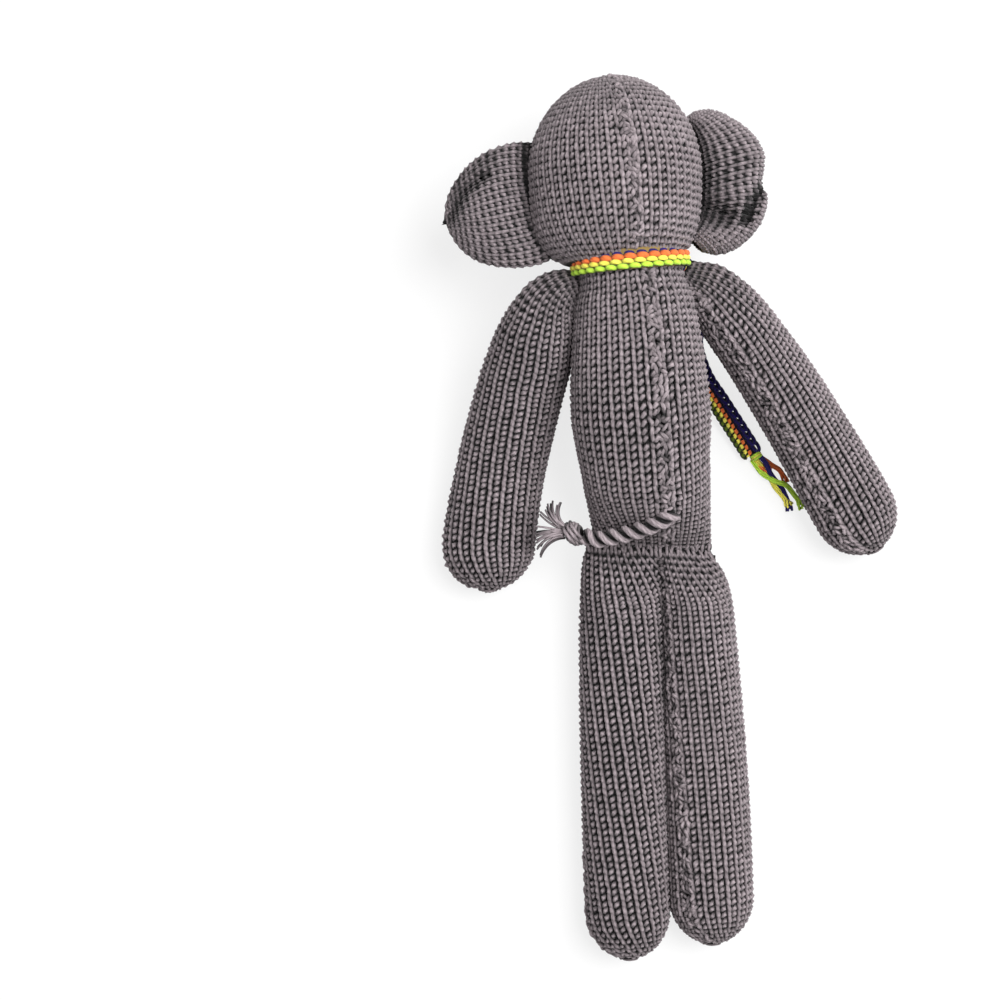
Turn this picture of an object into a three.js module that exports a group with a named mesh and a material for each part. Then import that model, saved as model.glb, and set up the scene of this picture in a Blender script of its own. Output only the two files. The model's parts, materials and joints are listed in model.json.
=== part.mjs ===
// A knitted elephant, laid down on its front. +Y runs to the crown, +X to its right, +Z out of its back.
// Every stuffed piece is a knitted cover with its own filling, sewn flat where it joins the next piece.
import * as THREE from "three";

// Knitting and sewing, in millimetres
const WALL = 2.4;
const CLEARANCE = 0.3;
const SEWN_EDGE = 1.2;
const SEWN_NOSE = 0.9;
const GATHER_HOLE = 3.2;
const SEAM_YARN = 0.8;
const SIDES = 16;
const FLAT_OF_RING = Math.cos(Math.PI / SIDES);
const ROOT_SKEW = 50;
const TAPER_POWER = 1.5;

// Body: the neck ball carries the head, and the lower end is sewn flat along the hips
const NECK = new THREE.Vector3(-19.3, 113, 50);
const NECK_RADIUS = 22;
const HIP = new THREE.Vector3(-7.9, -8.4, 26);
const HIP_LEAN = THREE.MathUtils.degToRad(3.3);
const BELLY_HEIGHT = 47.5;
const HIP_HALF_WIDTH = 24.6;
const CHEST_HALF_WIDTH = 29.6;
const SHOULDER_HALF_WIDTH = 25.4;
const SHOULDER_DROP = 17;
const CHEST_HALF_DEPTH = 24.6;
const BODY_TAPER = 46;
const BACK_SEAM_TURN = THREE.MathUtils.degToRad(75);

// Head
const HEAD_LEAN = THREE.MathUtils.degToRad(8);
const HEAD_RIM = 6.8;
const HEAD_RIM_RADIUS = 25;
const HEAD_LENGTH = 69.4;
const HEAD_HALF_WIDTH = 36.8;
const HEAD_HALF_DEPTH = 34;
const CROWN_ROUND = 42;
const HEAD_SEAM_TURN = THREE.MathUtils.degToRad(80);
const EYE_RADIUS = 2.6;
const EYE_PLACE = 36;
const EYE_TURN = THREE.MathUtils.degToRad(-42);
const TUSK_LENGTH = 22;
const TUSK_RADIUS = 4.6;
const TUSK_PLACE = 21;
const TUSK_TURN = THREE.MathUtils.degToRad(-46);

// Ears: where each one is sewn along the head, how far it reaches out, droops and swells
const EARS = {
  left: { side: -1, from: 0.5, to: 49, reach: 42, droop: 1.5, swell: 10.5 },
  right: { side: 1, from: 0.5, to: 54, reach: 34, droop: 6.5, swell: 9 },
};
const EAR_FULLNESS = 0.62;
const EAR_RINGS = [0.86, 0.66, 0.4];
const EAR_EDGE_STEPS = 10;

// Limbs: the route of each one, its half widths and its half depth
const ARM_SEAM = { from: 4, length: 37 };
const ARM_HALF_DEPTH = 15.4;
const ARM_TAPER = 36;
const ARM_PLACES = { shoulder: 20, swell: 55, hand: 110 };
const ARMS = {
  left: {
    side: -1,
    route: [[-52.5, 88, 46], [-61, 70, 35], [-73.8, 28, 17.2], [-80.3, -9, 13.8], [-79.6, -28.6, 13.6]],
    shoulder: 16,
    swell: 18.8,
    hand: 20.4,
    seamTurn: THREE.MathUtils.degToRad(-35),
  },
  right: {
    side: 1,
    route: [[22, 91, 45], [43, 66, 33], [67, 32, 18.5], [92, -10.6, 13.6]],
    shoulder: 15.4,
    swell: 17.2,
    hand: 17.2,
    seamTurn: THREE.MathUtils.degToRad(50),
  },
};
const HAND_ROUND = 20;

const LEG_HALF_DEPTH = 16.4;
const LEG_TAPER = 36;
const LEG_PLACES = { thigh: 24, swell: 60, foot: 150 };
const TOE_ROUND = 21;
const LEGS = {
  left: {
    hip: -13.4,
    route: [[-20.8, -30, 17.2], [-20.8, -55, 16], [-20, -112, 15], [-17.2, -191.4, 14.6]],
    top: 15.4,
    thigh: 17.8,
    swell: 18.6,
    foot: 18.5,
    seamTurn: THREE.MathUtils.degToRad(-35),
  },
  right: {
    hip: 14.6,
    route: [[12.6, -30, 18.4], [14.2, -55, 16.6], [17, -112, 15], [19.4, -184.7, 14.6]],
    top: 11.6,
    thigh: 15,
    swell: 17,
    foot: 18.6,
    seamTurn: THREE.MathUtils.degToRad(42),
  },
};

// Trunk: sewn across the face, then laid under the chest
const TRUNK_PLACE = 24;
const TRUNK_SEAM = 12.6;
const TRUNK_REST = 10.2;
const TRUNK_LENGTH = 108;
const TRUNK_ROOT = 12.4;
const TRUNK_TIP = 9.6;
const TRUNK_TAPER = 34;
const TRUNK_ROUND = 10;

// Tail: a twisted cord with a knot and a fringe
const TAIL_RADIUS = 3.7;
const TAIL_KNOT = 5.2;
const TAIL_FRINGE = 11;
const TAIL_ROUTE = [
  [-0.4, 6.2, 54.3],
  [-6.6, 2, 52.6],
  [-14.6, -1.4, 49.6],
  [-24.8, -4.2, 45.6],
  [-33, -5.6, 42.4],
  [-38.6, -4.2, 40.2],
];

// Scarf: a band round the neck, a knot at its front and two ends
const SCARF_WIDTH = 9.6;
const SCARF_THICKNESS = 3.2;
const SCARF_STEPS = 24;
const SCARF_KNOT = 5;
const SCARF_KNOT_TURN = THREE.MathUtils.degToRad(45);
const SCARF_END_WIDTH = 14.6;
const SCARF_ENDS = {
  long: [[12, 86, 18], [25, 55, 8.5], [40, 30.5, 4.4]],
  short: [[8.5, 112.5, 15], [13, 100, 8], [12, 86, 4.2], [11, 73, 3.4]],
};
const TASSEL_LENGTH = 26;
const TASSEL_RADIUS = 3.2;

const GREY = { color: 0x7d7276, roughness: 0.95, metalness: 0 };
const FILLING = { color: 0xe8e4da, roughness: 1, metalness: 0 };
const CREAM = { color: 0xe9dfc8, roughness: 0.95, metalness: 0 };
const BLACK = { color: 0x1b1719, roughness: 0.7, metalness: 0 };
const ORANGE = { color: 0xe8703a, roughness: 0.95, metalness: 0 };
const YELLOW = { color: 0xd9d84a, roughness: 0.95, metalness: 0 };
const LIME = { color: 0xa6cf3c, roughness: 0.95, metalness: 0 };

const UP = new THREE.Vector3(0, 0, 1);
const vector = (place) => new THREE.Vector3(...place);
const toy = new THREE.Group();

function addMesh(name, geometry, finish) {
  const mesh = new THREE.Mesh(geometry, new THREE.MeshStandardMaterial(finish));
  mesh.name = name;
  toy.add(mesh);
  return mesh;
}

// A marker of where a piece turns, with its own Y axis along the hinge
function addHinge(name, place, along) {
  const hinge = new THREE.Object3D();
  hinge.name = name;
  hinge.position.copy(place);
  hinge.quaternion.setFromUnitVectors(new THREE.Vector3(0, 1, 0), along.clone().normalize());
  toy.add(hinge);
}

// A smooth curve of sizes through a few [place, size] marks
function profile(marks) {
  const slope = (i) => {
    const a = marks[Math.max(i - 1, 0)];
    const b = marks[Math.min(i + 1, marks.length - 1)];
    return (b[1] - a[1]) / (b[0] - a[0]);
  };
  return (place) => {
    if (place <= marks[0][0]) return marks[0][1];
    const last = marks.length - 1;
    if (place >= marks[last][0]) return marks[last][1];
    const i = marks.findIndex((mark) => mark[0] > place) - 1;
    const span = marks[i + 1][0] - marks[i][0];
    const t = (place - marks[i][0]) / span;
    const rise = t * t * (3 - 2 * t);
    const start = t * (1 - t) ** 2 * span * (i === 0 ? 0 : slope(i));
    const end = -t * t * (1 - t) * span * (i + 1 === last ? 0 : slope(i + 1));
    return marks[i][1] + (marks[i + 1][1] - marks[i][1]) * rise + start + end;
  };
}

// The half depth of a stuffed piece that swells from a flat, sewn edge
function sewnTaper(full, taper) {
  return (place) => {
    const left = 1 - THREE.MathUtils.clamp(place / taper, 0, 1);
    return SEWN_EDGE + (full - SEWN_EDGE) * (1 - left ** TAPER_POWER);
  };
}

// One closed surface over rings of points; a ring of one point closes an end
function loft(rings) {
  const corners = [];
  const starts = rings.map((ring) => {
    const start = corners.length;
    corners.push(...ring);
    return start;
  });
  const faces = [];
  for (let i = 0; i + 1 < rings.length; i += 1) {
    const count = Math.max(rings[i].length, rings[i + 1].length);
    const here = (j) => starts[i] + (j % rings[i].length);
    const next = (j) => starts[i + 1] + (j % rings[i + 1].length);
    for (let j = 0; j < count; j += 1) {
      if (rings[i].length > 1) faces.push([here(j), here(j + 1), next(j)]);
      if (rings[i + 1].length > 1) faces.push([here(j + 1), next(j + 1), next(j)]);
    }
  }
  const volume = faces.reduce(
    (sum, [a, b, c]) => sum + corners[a].dot(corners[b].clone().cross(corners[c])),
    0,
  );
  const index = faces.flatMap(([a, b, c]) => (volume > 0 ? [a, b, c] : [a, c, b]));
  const geometry = new THREE.BufferGeometry().setFromPoints(corners).setIndex(index);
  geometry.computeVertexNormals();
  return geometry;
}

// A stuffed tube along a route: oval in section, rounded at its far end and never under the floor
class StuffedTube {
  constructor({ route, rootSide, halfWidth, halfDepth, endRound }) {
    this.spine = new THREE.CatmullRomCurve3(route, false, "centripetal");
    this.length = this.spine.getLength();
    this.rootSide = rootSide;
    this.halfWidth = halfWidth;
    this.halfDepth = halfDepth;
    this.endRound = endRound;
  }

  // The place, directions and half sizes of the section at a distance from the root
  section(distance, inset = 0) {
    const share = THREE.MathUtils.clamp(distance / this.length, 0, 1);
    const along = this.spine.getTangentAt(share);
    const centre = this.spine.getPointAt(share);
    centre.addScaledVector(along, distance - share * this.length);
    const side = along.clone().cross(UP).normalize();
    const up = side.clone().cross(along);
    if (this.rootSide) {
      const square = THREE.MathUtils.smoothstep(distance, 0, ROOT_SKEW);
      side.lerp(this.rootSide, 1 - square).normalize();
    }
    const facing = up.clone().cross(side).normalize();
    const into = (distance - this.length + this.endRound) / (this.endRound - inset);
    const round = into > 0 ? Math.sqrt(Math.max(1 - into * into, 0)) : 1;
    const width = (this.halfWidth(distance) - inset) * round;
    const depth = (this.halfDepth(distance) - inset) * round;
    return { centre, along, side, up, facing, width, depth };
  }

  point(distance, angle, inset = 0) {
    const { centre, side, up, width, depth } = this.section(distance, inset);
    const place = centre
      .addScaledVector(side, width * Math.cos(angle))
      .addScaledVector(up, depth * Math.sin(angle));
    place.z = Math.max(place.z, inset);
    return place;
  }

  ring(distance, inset = 0) {
    return Array.from({ length: SIDES }, (_, j) =>
      this.point(distance, (2 * Math.PI * (j + 0.5)) / SIDES, inset),
    );
  }

  centre(distance) {
    return this.section(distance).centre;
  }

  // How far along the rounded end a section keeps this half width
  whereWidth(halfWidth, inset = 0) {
    const full = this.halfWidth(this.length) - inset;
    const into = Math.sqrt(1 - Math.min(halfWidth / full, 1) ** 2);
    return this.length - this.endRound + (this.endRound - inset) * into;
  }

  // The first distance from the root with room for a wall and some filling
  roomFrom(inset) {
    let distance = 0;
    while (this.halfDepth(distance) < inset + SEWN_EDGE) distance += 0.5;
    return distance;
  }
}

const spread = (from, to, count) =>
  Array.from({ length: count }, (_, i) => from + ((to - from) * i) / (count - 1));

// The distances of rings round the far end of a tube, closer towards its tip
function roundSteps(tube, end, count) {
  const turn = tube.length - tube.endRound;
  return spread(0, Math.PI / 2, count + 1)
    .slice(1)
    .map((angle) => turn + (end - turn) * Math.sin(angle));
}

// The distances of rings along a tube, from its sewn edge to where its end turns round
function evenSteps(tube, from, count) {
  return spread(from, tube.length - tube.endRound, count);
}

// A cover that is sewn flat at its root and drawn up round a small hole at its far end
function addStuffed(name, tube, rings) {
  const outerEnd = tube.whereWidth(GATHER_HOLE + CLEARANCE);
  const innerEnd = tube.whereWidth(GATHER_HOLE, WALL);
  const inset = WALL + CLEARANCE * 1.5;
  const start = tube.roomFrom(inset);
  const outer = [0, ...rings, ...roundSteps(tube, outerEnd, 4)];
  const inner = rings.filter((d) => d > start + 1);
  const wall = [start, ...inner, ...roundSteps(tube, innerEnd, 3)];
  const edge = tube.section(0);
  const back = edge.facing.clone().multiplyScalar(-SEWN_NOSE);
  const nose = tube.ring(0).map((place) => {
    const rise = place.clone().sub(edge.centre).dot(edge.up);
    return place.addScaledVector(edge.up, -0.4 * rise).add(back);
  });
  const shell = [
    [edge.centre.clone().add(back)],
    nose,
    ...outer.map((d) => tube.ring(d)),
    ...wall.map((d) => tube.ring(d, WALL)).reverse(),
    [tube.centre(start - CLEARANCE)],
  ];
  addMesh(`${name}_cover`, loft(shell), GREY);

  const fillEnd = tube.whereWidth(GATHER_HOLE, inset);
  const fill = [start + CLEARANCE, ...inner, ...roundSteps(tube, fillEnd, 3)];
  const fillRings = fill.map((d) => tube.ring(d, inset)).reverse();
  const ends = [[tube.centre(fillEnd)], [tube.centre(fill[0])]];
  addMesh(`${name}_filling`, loft([ends[0], ...fillRings, ends[1]]), FILLING);
  addGather(`${name}_gather`, tube, outerEnd);
}

// The knotted yarn that draws the end of a cover together, like a small mushroom in the hole
function addGather(name, tube, outerEnd) {
  const { along, depth } = tube.section(outerEnd);
  const stem = depth - CLEARANCE * 2;
  const head = CLEARANCE + SEAM_YARN;
  const outline = [
    [0, -WALL * 0.7],
    [stem, -WALL * 0.7],
    [stem, CLEARANCE],
    [GATHER_HOLE, CLEARANCE],
    [GATHER_HOLE * 0.7, head],
    [0, head],
  ].map(([x, y]) => new THREE.Vector2(x, y));
  const mesh = addMesh(name, new THREE.LatheGeometry(outline, 10), GREY);
  mesh.quaternion.setFromUnitVectors(new THREE.Vector3(0, 1, 0), along);
  mesh.position.copy(tube.centre(outerEnd));
  mesh.position.z = Math.max(mesh.position.z, GATHER_HOLE);
}

function roundSection(radius, sides) {
  const shape = new THREE.Shape();
  spread(0, 2 * Math.PI, sides + 1)
    .slice(0, -1)
    .forEach((a, i) => {
      const place = [radius * Math.cos(a), radius * Math.sin(a)];
      if (i === 0) shape.moveTo(...place);
      else shape.lineTo(...place);
    });
  return shape;
}

function addCord(name, route, radius, sides, count, finish) {
  const extrudePath = new THREE.CatmullRomCurve3(route);
  const options = { steps: count, curveSegments: 1, bevelEnabled: false, extrudePath };
  return addMesh(name, new THREE.ExtrudeGeometry(roundSection(radius, sides), options), finish);
}

// The sewing yarn that closes a cover lengthwise, lying on the knitting
function addSeam(name, tube, angle, from, to) {
  const lift = SEAM_YARN + CLEARANCE * 1.5;
  const route = spread(from, to, 12).map((d) => {
    const place = tube.point(d, angle);
    const out = place.clone().sub(tube.centre(d)).normalize();
    return place.addScaledVector(out, lift);
  });
  addCord(name, route, SEAM_YARN, 6, 14, GREY);
}

// Body
const axis = NECK.clone().sub(HIP).setZ(0).normalize();
const belly = HIP.clone().lerp(NECK, 0.45).setZ(BELLY_HEIGHT);
const hipAlong = new THREE.Vector3(Math.sin(HIP_LEAN), Math.cos(HIP_LEAN), 0);
const domeTop = NECK.clone().addScaledVector(axis, NECK_RADIUS);
const bodyLength = NECK.distanceTo(HIP) + NECK_RADIUS;
const neckPlace = bodyLength - NECK_RADIUS;
const bodyTaper = sewnTaper(CHEST_HALF_DEPTH, BODY_TAPER);
const chestDepth = profile([
  [neckPlace * 0.5, CHEST_HALF_DEPTH],
  [neckPlace - SCARF_WIDTH / 2 - 1, NECK_RADIUS],
]);
const body = new StuffedTube({
  route: [HIP, belly, NECK.clone().addScaledVector(axis, -NECK_RADIUS), domeTop],
  rootSide: hipAlong.clone().cross(UP),
  halfWidth: profile([
    [0, HIP_HALF_WIDTH],
    [neckPlace * 0.5, CHEST_HALF_WIDTH],
    [neckPlace - SHOULDER_DROP, SHOULDER_HALF_WIDTH],
    [neckPlace - SCARF_WIDTH / 2 - 1, NECK_RADIUS],
  ]),
  halfDepth: (place) => Math.min(bodyTaper(place), chestDepth(place)),
  endRound: NECK_RADIUS,
});
const scarfPlace = neckPlace - SCARF_WIDTH / 2;
addStuffed("body", body, [
  ...spread(8, scarfPlace - 14, 7),
  scarfPlace - 6,
  scarfPlace - 1,
  neckPlace,
]);
addSeam("body_seam", body, BACK_SEAM_TURN, BODY_TAPER * 0.7, neckPlace - SCARF_WIDTH);

// Head: open at the neck, where it sits on the neck ball
const headAxis = new THREE.Vector3(-Math.sin(HEAD_LEAN), Math.cos(HEAD_LEAN), 0);
const headRoute = [HEAD_RIM, HEAD_RIM + HEAD_LENGTH].map((d) =>
  NECK.clone().addScaledVector(headAxis, d),
);
const head = new StuffedTube({
  route: headRoute,
  halfWidth: profile([
    [0, HEAD_RIM_RADIUS],
    [HEAD_LENGTH * 0.12, HEAD_HALF_WIDTH * 0.83],
    [HEAD_LENGTH - CROWN_ROUND, HEAD_HALF_WIDTH],
  ]),
  halfDepth: profile([
    [0, HEAD_RIM_RADIUS],
    [HEAD_LENGTH * 0.12, HEAD_HALF_DEPTH * 0.84],
    [HEAD_LENGTH - CROWN_ROUND, HEAD_HALF_DEPTH],
  ]),
  endRound: CROWN_ROUND,
});

function neckRing(radius, height) {
  const wide = Math.sqrt(radius * radius - height * height) / FLAT_OF_RING;
  const centre = NECK.clone().addScaledVector(headAxis, height);
  const { side } = head.section(0);
  return Array.from({ length: SIDES }, (_, j) => {
    const angle = (2 * Math.PI * (j + 0.5)) / SIDES;
    return centre
      .clone()
      .addScaledVector(side, wide * Math.cos(angle))
      .addScaledVector(UP, wide * Math.sin(angle));
  });
}

function addHead() {
  const socket = NECK_RADIUS + CLEARANCE;
  const sides = evenSteps(head, WALL + CLEARANCE * 2, 5);
  const crownEnd = head.whereWidth(GATHER_HOLE * 2);
  const outer = [0, ...sides, ...roundSteps(head, crownEnd, 5)].map((d) => head.ring(d));
  const roofEnd = head.whereWidth(GATHER_HOLE * 2, WALL);
  const inner = [...sides, ...roundSteps(head, roofEnd, 4)].map((d) => head.ring(d, WALL));
  const rim = neckRing(socket, HEAD_RIM);
  const crown = [head.centre(head.length)];
  const roof = [head.centre(head.length - WALL)];
  addMesh("head_cover", loft([crown, ...outer.reverse(), rim, ...inner, roof]), GREY);

  const inset = WALL + CLEARANCE;
  const fillEnd = head.whereWidth(GATHER_HOLE * 2, inset);
  const fill = [...sides, ...roundSteps(head, fillEnd, 4)].map((d) => head.ring(d, inset));
  const top = [head.centre(head.length - inset)];
  const dishRadius = NECK_RADIUS + WALL + CLEARANCE * 3;
  const dish = spread(HEAD_RIM + sides[0] + CLEARANCE, dishRadius, 5)
    .slice(0, -1)
    .map((height) => neckRing(dishRadius, height));
  const pole = [NECK.clone().addScaledVector(headAxis, dishRadius)];
  addMesh("head_filling", loft([top, ...fill.reverse(), ...dish, pole]), FILLING);
}
addHead();
addHinge("head_turn_hinge", NECK, axis);
addHinge("head_nod_hinge", NECK, head.section(0).side);
addSeam("head_seam", head, HEAD_SEAM_TURN, HEAD_LENGTH * 0.1, HEAD_LENGTH * 0.93);

// Eyes and tusks, on the face that lies underneath
function placeOnFace(mesh, place, turn, lean, lift) {
  const { centre, along, side, up } = head.section(place);
  const spot = head.point(place, turn);
  const out = side
    .multiplyScalar(Math.cos(turn))
    .addScaledVector(up, Math.sin(turn))
    .normalize();
  const pointing = out.clone().addScaledVector(along, -lean).normalize();
  mesh.quaternion.setFromUnitVectors(new THREE.Vector3(0, 1, 0), pointing);
  mesh.position.copy(spot).addScaledVector(spot.clone().sub(centre).normalize(), lift);
}

const eyeOutline = [
  [0, 0],
  [EYE_RADIUS, 0],
  [EYE_RADIUS * 0.8, EYE_RADIUS * 0.5],
  [0, EYE_RADIUS * 0.75],
].map(([x, y]) => new THREE.Vector2(x, y));
const tuskOutline = [
  [0, -TUSK_RADIUS],
  [TUSK_RADIUS * 0.7, -TUSK_RADIUS * 0.7],
  [TUSK_RADIUS, 0],
  [TUSK_RADIUS, TUSK_LENGTH * 0.35],
  [TUSK_RADIUS * 0.75, TUSK_LENGTH * 0.7],
  [TUSK_RADIUS * 0.35, TUSK_LENGTH * 0.95],
  [0, TUSK_LENGTH],
].map(([x, y]) => new THREE.Vector2(x, y));
for (const [name, mirror] of [["right", (a) => a], ["left", (a) => Math.PI - a]]) {
  const eye = addMesh(`eye_${name}`, new THREE.LatheGeometry(eyeOutline, 10), BLACK);
  placeOnFace(eye, EYE_PLACE, mirror(EYE_TURN), 0, CLEARANCE);
  const tusk = addMesh(`tusk_${name}`, new THREE.LatheGeometry(tuskOutline, 10), CREAM);
  placeOnFace(tusk, TUSK_PLACE, mirror(TUSK_TURN), 1, TUSK_RADIUS - CLEARANCE);
}

// Ears: two knitted panels sewn together at the rim, with filling between them
function earOutline({ side, from, to, reach, droop }) {
  const root = spread(from, to, 7).map((d) => {
    const { centre, side: across, width } = head.section(d);
    return centre.addScaledVector(across, side * (width * FLAT_OF_RING + SEWN_EDGE));
  });
  const [low, high] = [root[0], root[root.length - 1]];
  const middle = low.clone().lerp(high, 0.5);
  const upward = high.clone().sub(low).multiplyScalar(0.5);
  const outward = new THREE.Vector3(upward.y, -upward.x, 0).normalize().multiplyScalar(side);
  const edge = spread(0, Math.PI, EAR_EDGE_STEPS + 2)
    .slice(1, -1)
    .map((turn) => {
      const out = Math.sin(turn) ** EAR_FULLNESS;
      const rise = Math.sign(Math.cos(turn)) * Math.abs(Math.cos(turn)) ** EAR_FULLNESS;
      return middle
        .clone()
        .addScaledVector(upward, rise)
        .addScaledVector(outward, reach * out)
        .addScaledVector(headAxis, -droop * out);
    });
  const bulge = Math.max(...root.map((place) => place.clone().sub(middle).dot(outward)));
  const hinge = middle.clone().addScaledVector(outward, bulge);
  const heart = hinge
    .clone()
    .addScaledVector(outward, (reach - bulge) / 2)
    .addScaledVector(headAxis, -droop / 2);
  return { outline: [...root, ...edge], heart, hinge, upward };
}

function addEar(name, sizes) {
  const { outline, heart, hinge, upward } = earOutline(sizes);
  addHinge(`ear_${name}_hinge`, hinge, upward.multiplyScalar(-sizes.side));
  const height = (share) => SEWN_EDGE + sizes.swell * (1 - share * share);
  const ring = (share, lift) =>
    outline.map((place) => heart.clone().lerp(place, share).setZ(heart.z + lift));
  const pole = (lift) => [heart.clone().setZ(heart.z + lift)];
  const shares = [1, ...EAR_RINGS];
  const slack = CLEARANCE / 2;
  for (const [face, turned] of [["back", 1], ["front", -1]]) {
    const outside = shares.map((share) => ring(share, turned * height(share)));
    const inside = shares.map((share) =>
      ring(share, turned * Math.max(height(share) - WALL, slack)),
    );
    const panel = [
      pole(turned * height(0)),
      ...outside.reverse(),
      ...inside,
      pole(turned * (height(0) - WALL)),
    ];
    addMesh(`ear_${name}_${face}`, loft(panel), GREY);
  }
  const room = (share) => height(share) - WALL - CLEARANCE;
  const fill = [
    pole(room(0)),
    ...EAR_RINGS.map((share) => ring(share, room(share))).reverse(),
    ...EAR_RINGS.map((share) => ring(share, -room(share))),
    pole(-room(0)),
  ];
  addMesh(`ear_${name}_filling`, loft(fill), FILLING);
}
for (const [name, sizes] of Object.entries(EARS)) addEar(name, sizes);

// Arms, sewn flat along the sides of the body
function armTube({ side, route, shoulder, swell, hand }) {
  const top = neckPlace - ARM_SEAM.from;
  const angle = side > 0 ? 0 : Math.PI;
  const along = spread(top, top - ARM_SEAM.length, 7).map((d) => body.point(d, angle));
  const upward = along[0].clone().sub(along[6]).setZ(0).normalize();
  const outward = upward.clone().cross(UP).multiplyScalar(side);
  const bulge = Math.max(...along.map((place) => place.clone().sub(along[0]).dot(outward)));
  const root = along[0]
    .clone()
    .lerp(along[6], 0.5)
    .addScaledVector(outward, bulge + SEWN_NOSE);
  return new StuffedTube({
    route: [root, ...route.map(vector)],
    rootSide: upward.multiplyScalar(-side),
    halfWidth: profile([
      [0, ARM_SEAM.length / 2],
      [ARM_PLACES.shoulder, shoulder],
      [ARM_PLACES.swell, swell],
      [ARM_PLACES.hand, hand],
    ]),
    halfDepth: sewnTaper(ARM_HALF_DEPTH, ARM_TAPER),
    endRound: HAND_ROUND,
  });
}
for (const [name, sizes] of Object.entries(ARMS)) {
  const arm = armTube(sizes);
  addStuffed(`arm_${name}`, arm, evenSteps(arm, 7, 8));
  addSeam(`arm_${name}_seam`, arm, sizes.seamTurn, ARM_TAPER, arm.length - HAND_ROUND);
  addHinge(`arm_${name}_hinge`, arm.centre(0), arm.rootSide);
}

// Legs, sewn flat under the hip seam
function legTube({ hip, route, top, thigh, swell, foot }) {
  const edge = body.section(0);
  const root = edge.centre
    .clone()
    .addScaledVector(edge.side, hip)
    .addScaledVector(edge.facing, -2 * (SEWN_NOSE + CLEARANCE));
  return new StuffedTube({
    route: [root, ...route.map(vector)],
    rootSide: edge.side.clone().negate(),
    halfWidth: profile([
      [0, top],
      [LEG_PLACES.thigh, thigh],
      [LEG_PLACES.swell, swell],
      [LEG_PLACES.foot, foot],
    ]),
    halfDepth: sewnTaper(LEG_HALF_DEPTH, LEG_TAPER),
    endRound: TOE_ROUND,
  });
}
for (const [name, sizes] of Object.entries(LEGS)) {
  const leg = legTube(sizes);
  addStuffed(`leg_${name}`, leg, evenSteps(leg, 8, 9));
  addSeam(`leg_${name}_seam`, leg, sizes.seamTurn, LEG_TAPER, leg.length - TOE_ROUND);
  addHinge(`leg_${name}_hinge`, leg.centre(0), leg.rootSide);
}

// Trunk
const face = head.section(TRUNK_PLACE);
const trunkRoot = face.centre
  .clone()
  .addScaledVector(UP, -(face.depth + SEWN_EDGE + CLEARANCE));
const trunkAlong = (distance) =>
  trunkRoot.clone().addScaledVector(headAxis, -distance).setZ(TRUNK_REST);
const trunkTaper = sewnTaper(TRUNK_ROOT, TRUNK_TAPER);
const trunkDepth = profile([
  [TRUNK_TAPER * 0.8, TRUNK_ROOT * 0.88],
  [TRUNK_LENGTH, TRUNK_TIP],
]);
const trunk = new StuffedTube({
  route: [trunkRoot, trunkAlong(TRUNK_TAPER), trunkAlong(TRUNK_LENGTH)],
  halfWidth: profile([
    [0, TRUNK_SEAM],
    [TRUNK_TAPER, TRUNK_ROOT],
    [TRUNK_LENGTH, TRUNK_TIP],
  ]),
  halfDepth: (place) => Math.min(trunkTaper(place), trunkDepth(place)),
  endRound: TRUNK_ROUND,
});
addStuffed("trunk", trunk, evenSteps(trunk, 7, 7));
addHinge("trunk_hinge", trunkRoot, trunk.section(0).side.negate());

// Tail
addHinge("tail_hinge", vector(TAIL_ROUTE[0]), axis);
addCord("tail_cord", TAIL_ROUTE.map(vector), TAIL_RADIUS, 10, 9, GREY);

function pointFrom(mesh, route) {
  const end = vector(route[route.length - 1]);
  const curve = new THREE.CatmullRomCurve3(route.map(vector));
  const along = curve.getTangentAt(1);
  mesh.quaternion.setFromUnitVectors(new THREE.Vector3(0, 1, 0), along);
  mesh.position.copy(end).addScaledVector(along, CLEARANCE);
  return along;
}

const knotOutline = [
  [0, 0],
  [TAIL_RADIUS, 0],
  [TAIL_KNOT, TAIL_KNOT * 0.7],
  [TAIL_KNOT, TAIL_KNOT * 1.2],
  [TAIL_RADIUS, TAIL_KNOT * 1.9],
  [0, TAIL_KNOT * 1.9],
].map(([x, y]) => new THREE.Vector2(x, y));
const tailKnot = addMesh("tail_knot", new THREE.LatheGeometry(knotOutline, 10), GREY);
const tailAlong = pointFrom(tailKnot, TAIL_ROUTE);
const fringeOutline = [
  [0, 0],
  [TAIL_RADIUS * 0.9, 0],
  [TAIL_RADIUS * 1.6, TAIL_FRINGE * 0.6],
  [TAIL_RADIUS * 1.2, TAIL_FRINGE],
  [0, TAIL_FRINGE],
].map(([x, y]) => new THREE.Vector2(x, y));
const tailFringe = addMesh("tail_fringe", new THREE.LatheGeometry(fringeOutline, 10), GREY);
pointFrom(tailFringe, TAIL_ROUTE);
tailFringe.position.addScaledVector(tailAlong, TAIL_KNOT * 1.9 + CLEARANCE);

// Scarf
const scarfInner = NECK_RADIUS + CLEARANCE * 2;
const scarfOuter = scarfInner + SCARF_THICKNESS;
const bandOutline = [
  [scarfInner, -SCARF_WIDTH / 2],
  [scarfOuter, -SCARF_WIDTH * 0.4],
  [scarfOuter, SCARF_WIDTH * 0.4],
  [scarfInner, SCARF_WIDTH / 2],
  [scarfInner, -SCARF_WIDTH / 2],
].map(([x, y]) => new THREE.Vector2(x, y));
const scarfBand = addMesh("scarf_band", new THREE.LatheGeometry(bandOutline, SCARF_STEPS), ORANGE);
scarfBand.quaternion.setFromUnitVectors(new THREE.Vector3(0, 1, 0), axis);
scarfBand.position.copy(NECK);

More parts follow.
